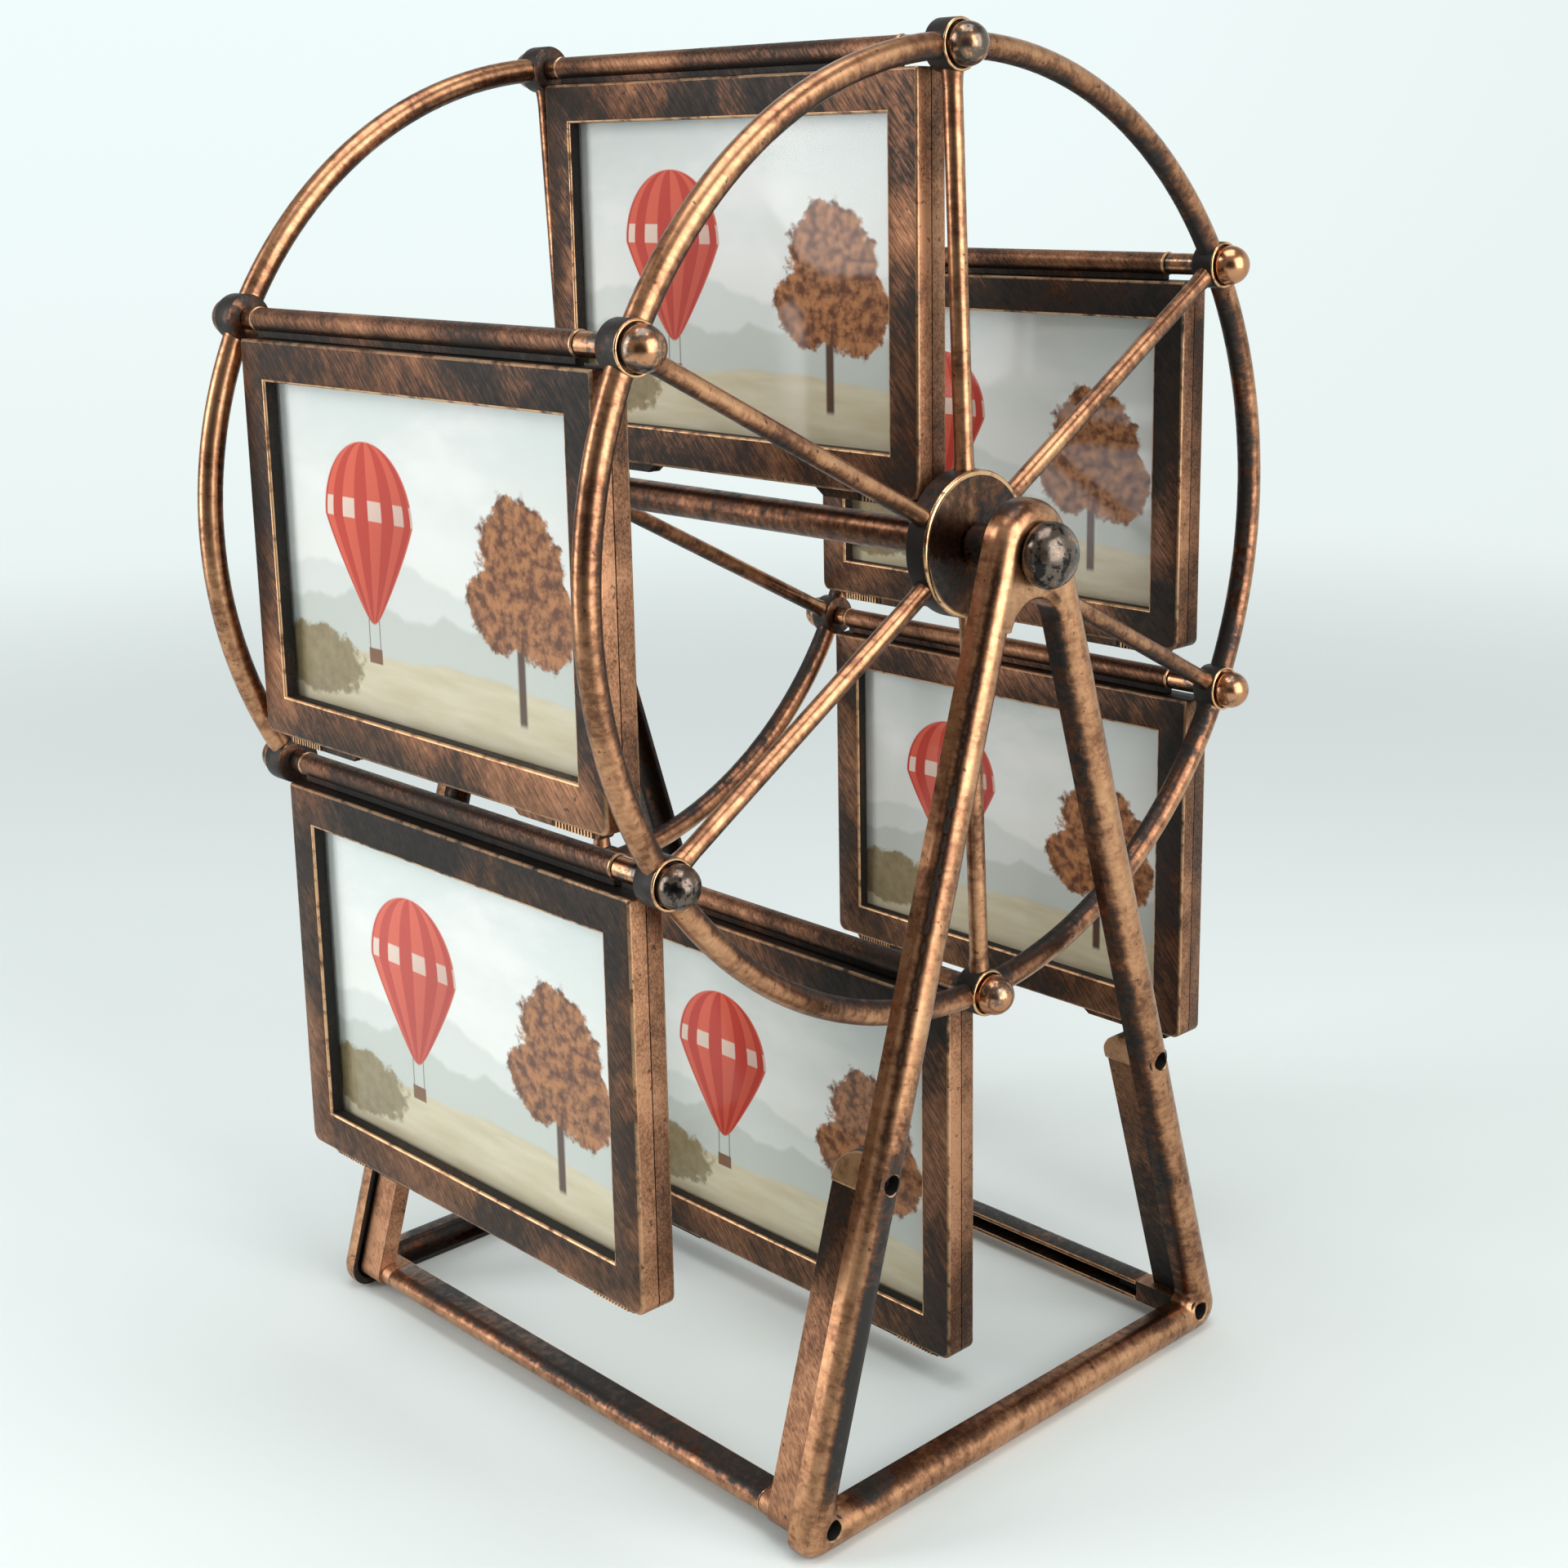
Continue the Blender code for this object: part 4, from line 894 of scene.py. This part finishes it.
def shell_rule_about(pivot, side):
    """The rule for a half shell: black painted shade in the window and on the top face under the hanging
    tube, painted shade under the tube, dark on the upper bezel, and pale sides from painted light.

    The upper frame behind the axle is darker all over with painted shade, as it is in the photograph.
    """
    # Painted shade: the upper frame behind the axle is darker all over.
    darker = 0.13 if pivot.y > 0 and pivot.z > AXLE_HEIGHT + 20 * MM else 0.0
    near = 0.05 * MM

    def rule(place, normal):
        x, y, z = place - pivot
        # Painted shade: the hanging tube and its web are darker on the faces that look down.
        if z > FRAME_TOP + 0.1 * MM:
            return 0.12 + max(0.0, -normal.z - 0.25) * 0.6
        # Painted shade: the walls of the window are black, for the shadow in it.
        inside = abs(x) < OPENING_HALF_WIDTH + near and OPENING_BOTTOM - near < z < OPENING_TOP + near
        if abs(normal.y) < 0.5 and inside:
            return 0.8
        # Painted shade: the top face under the hanging tube is dark, for the shadow between tube and frame.
        if z > FRAME_TOP - 0.2 * MM and normal.z > 0.8:
            return 0.6
        # Painted light: the sides and the bottom are paler copper, the front half's more than the rear
        # half's.
        if abs(normal.y) < 0.5:
            return (-0.24 if side < 0 else -0.06) + darker
        return (0.44 if z > OPENING_TOP else 0.22) + darker

    return rule


def prints_mesh():
    """Two prints back to back on a card, about the pivot. Their faces carry the print's own u and v."""
    part = Moulding()
    uv = part.shell.loops.layers.uv.new("print")
    outline = []
    for k in range(4):
        outline += rounded_corner(k, CARD_HIGH.x, CARD_HIGH.z, CARD_LOW.z, CARD_CORNER, 4)
    half = CARD_HIGH.y
    depths = (-half, -half + PRINT_THICKNESS, half - PRINT_THICKNESS, half)
    for depth, next_depth, inset in zip(depths, depths[1:], (1, 0.9965, 1)):
        part.loft([[(x * inset, y, z) for x, z in outline] for y in (depth, next_depth)])
    for face in part.shell.faces:
        for loop in face.loops:
            x, y, z = loop.vert.co
            across = (x - CARD_LOW.x) / (CARD_HIGH.x - CARD_LOW.x)
            up = (z - CARD_LOW.z) / (CARD_HIGH.z - CARD_LOW.z)
            loop[uv].uv = (across if y < 0 else 1 - across, up)
    return part.mesh("prints")


# Stand

# How far a leg leans from upright. Its centre line is tangent to the bend over the axle
LEG_RISE = AXLE_HEIGHT - LEG_WIDTH / 2
LEAN = atan2(FOOT_HALF_SPAN, LEG_RISE) - asin(BEND_RADIUS / hypot(LEG_RISE, FOOT_HALF_SPAN))


def leg_point(offset, z):
    """A (y, z) point at a height, this far outside the centre line of the rear leg."""
    return (FOOT_HALF_SPAN - (z - LEG_WIDTH / 2) * tan(LEAN) + offset / cos(LEAN), z)


def screw_place(place):
    """The (y, z) place of a screw of either A-frame."""
    leg = leg_point(0, BRACKET_HIGH.z - LEG_SCREW_DROP)
    y, z = leg if place.startswith("leg") else (FOOT_SCREW_Y, FOOT_SCREW_HEIGHT)
    return (-y if place.endswith("front") else y), z


def stations_between(one, other, steps):
    """Stations on the straight run between two stations, without either."""
    return [
        tuple(tuple(a + share * (b - a) for a, b in zip(p, q)) for p, q in zip(one, other))
        for share in spread(0, 1, steps)[1:-1]
    ]


def a_frame_stations():
    """Outer and inner (y, z) points round the A-frame, from the bend over the axle down the rear leg."""
    half = LEG_WIDTH / 2
    over, under = (arc((0, AXLE_HEIGHT), BEND_RADIUS + d, pi - LEAN, LEAN, 24) for d in (half, -half))
    outer_centre = leg_point(half - FOOT_OUTER_RADIUS, FOOT_OUTER_RADIUS)
    inner_centre = leg_point(-half - FOOT_INNER_RADIUS, LEG_WIDTH + FOOT_INNER_RADIUS)
    outer_foot = arc(outer_centre, FOOT_OUTER_RADIUS, LEAN, -QUARTER, 14)
    inner_foot = arc(inner_centre, FOOT_INNER_RADIUS, LEAN, -QUARTER, 14)
    top, rear_foot = list(zip(over, under)), list(zip(outer_foot, inner_foot))
    front_foot = [((-o[0], o[1]), (-i[0], i[1])) for o, i in reversed(rear_foot)]
    stations = top + stations_between(top[-1], rear_foot[0], 24) + rear_foot
    stations += stations_between(rear_foot[-1], front_foot[0], 16) + front_foot
    return stations + stations_between(front_foot[-1], top[0], 24)


def leg_section():
    """The open section of the A-frame, as (share of the half width, x) points, with rounded lips."""
    half = LEG_WIDTH / 2
    crown, inner = LEG_OUTER_X - half, half - LEG_WALL
    outside = [(y / half, crown + x) for y, x in arc((0, 0), half, 0, pi, 20)]
    inside = [(y / half, crown + x) for y, x in arc((0, 0), inner, pi, 0, 12)]
    share, lip = inner / half, 0.3 * MM
    left = [
        (-1, LEG_INNER_X + lip),
        (-1 + lip / half, LEG_INNER_X),
        (-share - lip / half, LEG_INNER_X),
        (-share, LEG_INNER_X + lip),
    ]
    return outside + left + inside + [(-y, x) for y, x in reversed(left)]


def apex_web(round_off=0.0):
    """Outline of the plate between the legs that the axle passes through, with an arch under it."""
    slope = sin(LEAN)
    below_crossing = (BEND_RADIUS - LEG_WIDTH / 2) / slope + WEB_BELOW_AXLE
    radius = below_crossing * slope / (1 - slope)
    arch = arc((0, AXLE_HEIGHT - WEB_BELOW_AXLE - radius), radius + round_off, LEAN, pi - LEAN, 24)
    bend = arc((0, AXLE_HEIGHT), BEND_RADIUS, pi - LEAN, LEAN, 24)
    y, z = leg_point(0, arch[0][1])
    return arch + [(-y, z)] + bend + [(y, z)]


def a_frame_mesh():
    """The near A-frame: legs, base bar, web with boss and ball seat, and the countersunk screw holes."""
    section = leg_section()
    rings = []
    for (outer_y, outer_z), (inner_y, inner_z) in a_frame_stations():
        y, z = (outer_y + inner_y) / 2, (outer_z + inner_z) / 2
        half_y, half_z = (outer_y - inner_y) / 2, (outer_z - inner_z) / 2
        rings.append([(x, y + share * half_y, z + share * half_z) for share, x in section])
    legs = Moulding().loft(rings, joined=True)
    apex, web_x = (0, AXLE_HEIGHT), LEG_OUTER_X - WEB_RECESS
    rings = prism_x(apex_web(), LEG_INNER_X + 0.5 * MM)
    for turn in spread(0, QUARTER, 8):
        x = web_x - NOTCH_ROUND * (1 - sin(turn))
        rings += prism_x(apex_web(NOTCH_ROUND * (1 - cos(turn))), x)
    web = Moulding().loft(rings)
    boss = [(BOSS_START_X, BOSS_RADIUS - 0.3 * MM), (BOSS_START_X + 0.3 * MM, BOSS_RADIUS)]
    boss = Moulding().turned(boss + [(LEG_INNER_X + 1 * MM, BOSS_RADIUS)], 48, apex, tint=0.5, worn={0: 1.0})
    plugs, holes = Moulding(), Moulding()
    seat_x, shaft_hole = web_x - BALL_SEAT_DEPTH, SHAFT_RADIUS + GAP
    seat = AXLE_BALL_RADIUS * sqrt(1 - (AXLE_BALL_STAND / AXLE_BALL_REACH) ** 2) + GAP
    profile = [(BOSS_START_X - 1 * MM, shaft_hole), (seat_x, shaft_hole), (seat_x, seat), (web_x, seat)]
    holes.turned(profile + [(LEG_OUTER_X + 1 * MM, seat + 0.4 * MM)], 64, apex, tint=0.9)
    plug = [(LEG_INNER_X + 1.5 * MM, PLUG_RADIUS), (LEG_OUTER_X - 1.2 * MM, PLUG_RADIUS)]
    head_x, shank_hole = LEG_OUTER_X - SCREW_SINK, SCREW_SHANK_RADIUS + GAP
    hole = [
        (LEG_INNER_X, shank_hole),
        (head_x, shank_hole),
        (head_x, HEAD_HOLE_RADIUS),
        (LEG_OUTER_X - HEAD_HOLE_CHAMFER, HEAD_HOLE_RADIUS),
        (LEG_OUTER_X + 0.2 * MM, HEAD_HOLE_RADIUS + HEAD_HOLE_CHAMFER),
    ]
    for place in SCREW_PLACES:
        plugs.turned(plug, 32, screw_place(place), tint=0.9)
        holes.turned(hole, 36, screw_place(place), tint=0.95, worn={3: 1.0})
    joined = [("UNION", part.mesh("tool")) for part in (web, boss, plugs)]
    return carved(legs.mesh("a_frame"), *joined, ("DIFFERENCE", holes.mesh("holes")))


def a_frame_axis(place):
    """The point on the centre line of leg, base bar or bend that is nearest to a place."""
    crown = copysign(LEG_OUTER_X - LEG_WIDTH / 2, place.x)
    if place.z > AXLE_HEIGHT:
        turn = atan2(place.z - AXLE_HEIGHT, place.y)
        return Vector((crown, 0, AXLE_HEIGHT)) + BEND_RADIUS * outward(turn)
    if place.z < LEG_WIDTH and abs(place.y) < FOOT_HALF_SPAN - LEG_WIDTH / 2:
        return Vector((crown, place.y, LEG_WIDTH / 2))
    offset = (abs(place.y) - leg_point(0, place.z)[0]) * cos(LEAN)
    sideways = copysign(1, place.y) * offset * cos(LEAN)
    return Vector((crown, place.y - sideways, place.z - offset * sin(LEAN)))


def a_frame_rule(place, normal):
    """The black base shows where a leg faces into the triangle, most near the feet, and in patches on top."""
    if normal.x * copysign(1, place.x) < -0.4:
        return 0.6
    black = max(patch(place.y, place.z - AXLE_HEIGHT, spot) for spot in APEX_BLACK)
    if black > 0 or place.z > AXLE_HEIGHT:
        return -0.15 + 0.3 * max(0.0, normal.z) + 0.9 * black
    if place.z < LEG_WIDTH + 0.3 * MM and abs(place.y) < FOOT_HALF_SPAN - 1.2 * LEG_WIDTH:
        near_foot = between(abs(place.y), 30 * MM, 66 * MM) * (1.0 if place.y < 0 else 0.5)
        return -0.04 + between(normal.z, 0.3, 0.9) * (0.25 + 0.6 * near_foot)
    inward = Vector((0, -copysign(cos(LEAN), place.y), -sin(LEAN)))
    facing = normal.dot(inward)
    low = 1 - between(place.z, 60 * MM, 130 * MM)
    if place.z < 14 * MM:
        return -0.05 + 0.4 * max(0.0, facing)
    if place.y < 0:
        ridge = 0.85 * low * between(facing, -0.72, -0.38)
        edge = 0.4 * between(facing, 0.35, 0.8)
        # Painted reflection: a dark line along the upper front leg's crown, where the crown mirrors the dark
        # room.
        line = 0.65 * (1 - low) * exp(-(((facing + 0.8) / 0.13) ** 2))
        return -0.12 + max(ridge, edge, line)
    return -0.12 + 0.55 * between(facing, 0.65, 0.95) + 0.35 * between(-facing, 0.5, 0.9) + 0.1 * low


def bar_outline(inset, recess=0.0):
    """A long bar's outline in Y and Z, drawn in by an inset, and by a recess on its open inner side."""
    radius = BAR_WIDTH / 2 - inset
    flat_y = BAR_LOW.y + recess
    round_side = arc((BAR_Y, BAR_Z), radius, -QUARTER, QUARTER, 16)
    return [(flat_y, BAR_Z - radius), *round_side, (flat_y, BAR_Z + radius)]


def upright_outline():
    """The rear bracket's outline in Y and Z: an upright along the leg on a foot as high as the long bar."""
    half, radius = BRACKET_WIDTH / 2, BAR_WIDTH / 2
    heights = spread(BAR_Z, CAP_BOTTOM + 0.5 * MM, 4)[1:]
    outline = [(BAR_LOW.y, BAR_Z - radius)] + arc(leg_point(half - radius, BAR_Z), radius, -QUARTER, LEAN, 14)
    outline += [leg_point(half, z) for z in heights] + [leg_point(-half, z) for z in reversed(heights)]
    return outline + [leg_point(-half, BAR_Z + radius), (BAR_LOW.y, BAR_Z + radius)]


def cap_ring(offset, inset):
    """The cap's outline at a distance outside the leg's centre line, drawn in by an inset."""
    bottom = CAP_BOTTOM + inset
    shoulder = BRACKET_HIGH.z - CAP_SHOULDER
    inner_x, outer_x = BRACKET_INNER_X - CAP_LIP + inset, BRACKET_OUTER_X - 0.05 * MM
    outline = [(outer_x, bottom), (inner_x + 0.3 * MM, bottom), (inner_x, bottom + 0.3 * MM)]
    for x, z in arc((0, 0), 1, pi, QUARTER, 18):
        outline.append((outer_x + x * (outer_x - inner_x), shoulder + z * (CAP_SHOULDER - inset)))
    return [(x, *leg_point(offset, z)) for x, z in outline]


def cap_part():
    """The bracket's cap, rubbed on the faces that look along Y."""
    cap = Moulding()
    bevel = [(CAP_BEVEL * (1 - cos(t)), CAP_BEVEL * (1 - sin(t))) for t in spread(0, QUARTER, 5)]
    inner, outer = -BRACKET_WIDTH / 2 - CAP_OVERHANG, BRACKET_WIDTH / 2 + CAP_LIP
    rings = [cap_ring(inner + depth, inset) for depth, inset in bevel]
    cap.loft(rings + [cap_ring(outer - depth, inset) for depth, inset in reversed(bevel)])
    for face in cap.shell.faces:
        x, y, z = face.calc_center_median()
        if abs(y - leg_point(0, z)[0]) > BRACKET_WIDTH / 2 - 0.2 * MM:
            cap.mark([face], 0.8, 0)
    return cap


def bracket_mesh():
    """The rear near bracket: an upright against the leg, its cap, the long bar's stub and the tongues."""
    upright = Moulding().loft(prism_x(upright_outline(), BRACKET_INNER_X, BRACKET_OUTER_X))
    stub = Moulding().loft(prism_x(bar_outline(0), STUB_END_X, BRACKET_INNER_X + 0.5 * MM))
    body = Moulding(carved(upright.mesh("upright"), ("UNION", stub.mesh("stub"))))
    body.bevel_sharp(0.35 * MM, 3, 35)
    tongues = Moulding()
    inside = bar_outline(BAR_WALL + GAP, TONGUE_RECESS)
    tongues.loft(prism_x(inside, STUB_END_X - 8 * MM, STUB_END_X + 0.5 * MM), tint=0.9)
    half, low, high = BRACKET_WIDTH / 2 - 0.4 * MM, 2 * BAR_WIDTH, CAP_BOTTOM - 0.5 * MM
    outline = [leg_point(offset, z) for offset, z in ((-half, low), (half, low), (half, high), (-half, high))]
    tongues.loft(prism_x(outline, BRACKET_OUTER_X - 0.5 * MM, BRACKET_HIGH.x), tint=0.9)
    for part in (cap_part(), tongues):
        body.shell.from_mesh(part.mesh("bracket_part"))
    return body.mesh("bracket")


def bracket_rule(place, normal):
    """Dark towards the top, paling downwards. The side that faces into the triangle is dark all over."""
    if place.z > CAP_BOTTOM:
        return -0.05 + 0.7 * between(normal.z, 0.1, 0.6)
    if normal.y * copysign(1, place.y) < -0.5:
        return 0.5 if place.z > BAR_HIGH.z - 0.5 * MM else 0.05
    return -0.3 + 0.75 * between(place.z, 30 * MM, 78 * MM)


def long_bar_mesh():
    outline = bar_outline(0) + bar_outline(BAR_WALL)[::-1]
    part = Moulding().loft(prism_x(outline, *spread(BAR_LOW.x, BAR_HIGH.x, 20)))
    part.bevel_sharp(0.25 * MM, 2, 40)
    return part.mesh("long_bar")


def bar_axis(place):
    return Vector((place.x, copysign(BAR_Y, place.y), BAR_Z))


def bar_rule(place, normal):
    """Black in the channel and on the upper flank, and paler below."""
    inwards = -normal.y * copysign(1, place.y)
    if inwards > 0.5 and abs(place.y) > BAR_LOW.y + BAR_WALL / 2:
        return 1.0
    return -0.12 + max(0.0, inwards) * 0.3 + between(normal.z, 0.1, 0.75) * 0.62


def screw_mesh():
    """A round-headed screw with a cross slot. Its origin is on the seat under its head."""
    shank = SCREW_SHANK_RADIUS
    profile = [(-SCREW_LENGTH, shank / 2), (-SCREW_LENGTH + shank, shank), (0, shank)]
    for t in spread(0, QUARTER, 8)[:-1]:
        profile.append((SCREW_HEAD_HEIGHT * sin(t), SCREW_HEAD_RADIUS * cos(t)))
    slot, reach, depth = 0.28 * MM, 1.35 * MM, 0.9 * MM
    cuts = []
    for y, z in ((slot, reach), (reach, slot)):
        box = box_rings((SCREW_HEAD_HEIGHT - depth, -y, -z), (SCREW_HEAD_HEIGHT + 1 * MM, y, z))
        cuts.append(("DIFFERENCE", Moulding().loft(box).mesh("slot")))
    return carved(Moulding().turned(profile, 28).mesh("screw"), *cuts)


# Assembly

SIDES = (("near", "", 1), ("far", "x", -1))
ENDS = (("rear", ""), ("front", "y"))


def build_wheels(tubes):
    wheel, centre = wheel_mesh(), (0, 0, AXLE_HEIGHT)
    for side, mirror, hand in SIDES:

        def local(place):
            return Vector((hand * place.x, place.y, place.z - AXLE_HEIGHT))

        def rule(place, normal):
            return wheel_rule(local(place), normal)

        def axis(place):
            return wheel_axis(local(place))

        add_piece(f"wheel_{side}", moved(wheel, centre, mirror), tubes, "wheel", rule, axis)

    # Painted shade: the axle tube is darker on its underside.
    def under(place, normal):
        return max(0.0, -normal.z) * 0.35

    def axle(place):
        return Vector((place.x, 0, AXLE_HEIGHT))

    add_piece("axle_tube", moved(axle_tube_mesh(), centre), tubes, "wheel", under, axle)


def build_frames(faces, bronze, paper, film):
    front, rear, prints = shell_mesh(-1), shell_mesh(1), prints_mesh()
    far_pin = ball_pin_mesh(FAR_PIN_TIP_X, -HANGER_FAR_X, FAR_BALL_TINT)
    for k, (pivot, tint) in enumerate(zip(PIVOTS, NEAR_BALL_TINTS), 1):
        body = f"frame_{k}"
        for name, mesh, side in (("front_shell", front, -1), ("rear_shell", rear, 1)):
            add_piece(f"{body}_{name}", moved(mesh, pivot), faces, body, shell_rule_about(pivot, side))
        add_piece(f"{body}_print_card", moved(prints, pivot), paper, body, name=f"{body}_prints")
        for slot in frame["nodes"][f"{body}_clear_sleeve"].material_slots:
            slot.material = film
        near_pin = ball_pin_mesh(PIN_TIP_X, HANGER_NEAR_X, tint)
        add_piece(f"ball_pin_{k}_near", moved(near_pin, pivot), bronze, body, plain)
        add_piece(f"ball_pin_{k}_far", moved(far_pin, pivot, "x"), bronze, body, plain)


def build_stand(tubes, faces, bronze, steel):
    a_frame, bracket, bar = a_frame_mesh(), bracket_mesh(), long_bar_mesh()
    screw, pin = screw_mesh(), axle_pin_mesh()
    for side, mirror, hand in SIDES:
        leg = moved(a_frame, mirror=mirror)
        add_piece(f"a_frame_{side}", leg, tubes, "stand", a_frame_rule, a_frame_axis)
        for end, turn in ENDS:
            mesh = moved(bracket, mirror=mirror + turn)
            add_piece(f"bracket_{side}_{end}", mesh, faces, "stand", bracket_rule)
        add_piece(f"axle_pin_{side}", moved(pin, (0, 0, AXLE_HEIGHT), mirror), bronze, "stand", plain)
    for end, turn in ENDS:
        add_piece(f"long_bar_{end}", moved(bar, mirror=turn), tubes, "stand", bar_rule, bar_axis)
    for side, mirror, hand in SIDES:
        for place in SCREW_PLACES:
            seat = (hand * (LEG_OUTER_X - SCREW_SINK + GAP), *screw_place(place))
            add_piece(f"screw_{side}_{place}", moved(screw, seat, mirror), steel, "stand")


# Camera, light and floor


def add_camera():
    data = bpy.data.cameras.new("camera")
    data.lens, data.sensor_width = LENS, 36
    data.shift_x, data.shift_y = SHIFT_X, SHIFT_Y
    data.clip_start = 0.01
    camera = in_scene("camera", data)
    level = cos(CAMERA_DIP)
    towards_y = cos(CAMERA_AZIMUTH) * level
    ahead = Vector((-sin(CAMERA_AZIMUTH) * level, towards_y, -sin(CAMERA_DIP)))
    right = ahead.cross(Vector((0, 0, 1))).normalized()
    rolled = cos(CAMERA_ROLL) * right + sin(CAMERA_ROLL) * right.cross(ahead)
    rotation = Matrix((rolled, rolled.cross(ahead), -ahead)).transposed()
    camera.matrix_world = Matrix.Translation(CAMERA_PLACE) @ rotation.to_4x4()
    bpy.context.scene.camera = camera


# Soft boxes: name, place, target, width and height, watts and colour. A tall strip stands to the right of
# the camera and a tall box to its left, and a wide one hangs overhead
LAMPS = (
    ("strip_right", (1.3, 0.1, 0.6), (0, 0, 0.2), (1.1, 1.3), 17, (1, 0.98, 0.95)),
    ("box_left", (-0.72, -1.0, 0.55), (0, 0, 0.18), (0.5, 1.3), 10, (0.98, 0.99, 1)),
    ("over", (0.1, -0.1, 1.5), (0, 0, 0.2), (0.9, 0.9), 9, (1, 1, 1)),
)


def add_lamps():
    for name, place, target, size, power, colour in LAMPS:
        data = bpy.data.lights.new(name, "AREA")
        data.shape, data.size, data.size_y = "RECTANGLE", *size
        data.energy, data.color = power, colour
        lamp = in_scene(name, data)
        lamp.location = place
        lamp.rotation_euler = (Vector(target) - Vector(place)).to_track_quat("-Z", "Y").to_euler()


BACKDROP_PALE = (0.88, 0.98, 0.98, 1)
BACKDROP_SIDE = (0.81, 0.885, 0.875, 1)
BACKDROP_FLOOR = (0.79, 0.86, 0.84, 1)
AMBIENT = (0.95, 0.98, 1.0, 1)
AMBIENT_STRENGTH = 0.36
ROOM_GREY = (0.34, 0.33, 0.31, 1)
ROOM_DARK = (0.035, 0.033, 0.03, 1)
UP = (0, 0, 1)
PICTURE_RIGHT = (0.7, 0.71, 0)
LEFT_SIDE = (-0.588, -0.809, 0)
DARK_SIDE = (0.643, -0.766, 0)
FLOOR_COLOUR = (0.785, 0.855, 0.84, 1)
FLOOR_RADIUS = 2.4


def add_world():
    """A pale backdrop for camera and clear film, a dimmer room in mirrored rays, and plain soft light."""
    world = bpy.data.worlds.new("studio")
    bpy.context.scene.world = world
    g = Graph(world)
    g.tree.nodes.clear()
    direction = g.wire("ShaderNodeTexCoord", output="Generated")

    def towards(vector, low, high):
        """How far the view direction turns towards a vector, between two cosines."""
        inputs = {0: direction, 1: vector}
        return g.ramp(g.wire("ShaderNodeVectorMath", inputs, "Value", operation="DOT_PRODUCT"), low, high)

    pale = g.mix(towards(UP, -0.4, 0.12), BACKDROP_FLOOR, BACKDROP_PALE)
    pale = g.mix(towards(PICTURE_RIGHT, -0.05, 0.4) * 0.8, pale, BACKDROP_SIDE)
    room = g.mix(towards(LEFT_SIDE, 0.1, 0.6), pale, ROOM_GREY)
    room = g.mix(towards(DARK_SIDE, 0.74, 0.94), room, ROOM_DARK)
    room = g.mix(towards(UP, 0.35, 0.75), room, ROOM_GREY)
    rays = g.node("ShaderNodeLightPath").outputs
    kinds = ("Is Camera Ray", "Is Transmission Ray", "Is Glossy Ray")
    seen, passed, mirrored = (Wire(g, rays[kind]) for kind in kinds)
    straight = g.math("MAXIMUM", seen, passed)
    shown = g.wire("ShaderNodeBackground", {0: g.mix(straight, room, pale)})
    soft = g.wire("ShaderNodeBackground", {0: AMBIENT, 1: AMBIENT_STRENGTH})
    choice = g.wire("ShaderNodeMixShader", {0: g.math("MAXIMUM", straight, mirrored), 1: soft, 2: shown})
    g.node("ShaderNodeOutputWorld", {0: choice})


def add_floor():
    """A pale floor that keeps the shadow near the object and fades into the studio further out."""
    shell = bmesh.new()
    bmesh.ops.create_circle(shell, cap_ends=True, segments=96, radius=FLOOR_RADIUS)
    mesh = bpy.data.meshes.new("floor")
    shell.to_mesh(mesh)
    shell.free()
    floor = in_scene("floor", mesh)
    floor.location.z = -0.05 * MM
    g = Graph(bpy.data.materials.new("pale_floor"))
    g.set(Base_Color=FLOOR_COLOUR, Roughness=0.75, Specular_IOR_Level=0.15)
    away = g.wire("ShaderNodeVectorMath", {0: g.place()}, "Value", operation="LENGTH")
    clear = g.wire("ShaderNodeBsdfTransparent")
    inputs = {0: g.ramp(away, 0.45, 1.5), 1: Wire(g, g.shader.outputs[0]), 2: clear}
    g.feed(g.tree.nodes["Material Output"].inputs["Surface"], g.wire("ShaderNodeMixShader", inputs))
    mesh.materials.append(g.owner)


def build():
    bpy.context.scene.view_settings.view_transform = "Standard"
    faces = antique_copper(
        "antique_copper_faces",
        FACE_TONES,
        stroke_turn=(0, radians(-48), 0),
        stroke_size=(6 * MM, 0.5 * MM),
        patch_scale=24.0,
        weights=(0.44, 0.76, 0.16),
        gloss=0.36,
        metal=0.85,
    )
    tubes = antique_copper(
        "antique_copper_tubes",
        TUBE_TONES,
        stroke_turn=(0, 0, 0),
        stroke_size=(1.6 * MM, 1.1 * MM),
        patch_scale=46.0,
        weights=(0.14, 0.4, 0.3),
        gloss=0.24,
        metal=1.0,
    )
    faces, tubes = (faces, "antique_copper"), (tubes, "antique_copper")
    bronze = (polished_bronze("polished_bronze"), "dark_bronze")
    steel = (blackened_steel("dark_screws"), "blackened_steel")
    film = clear_sheet("clear_film")
    paper = (printed_landscape("photo_print"), "print_paper")
    build_wheels(tubes)
    build_frames(faces, bronze, paper, film)
    build_stand(tubes, faces, bronze, steel)
    add_world()
    add_floor()
    add_lamps()
    add_camera()


build()
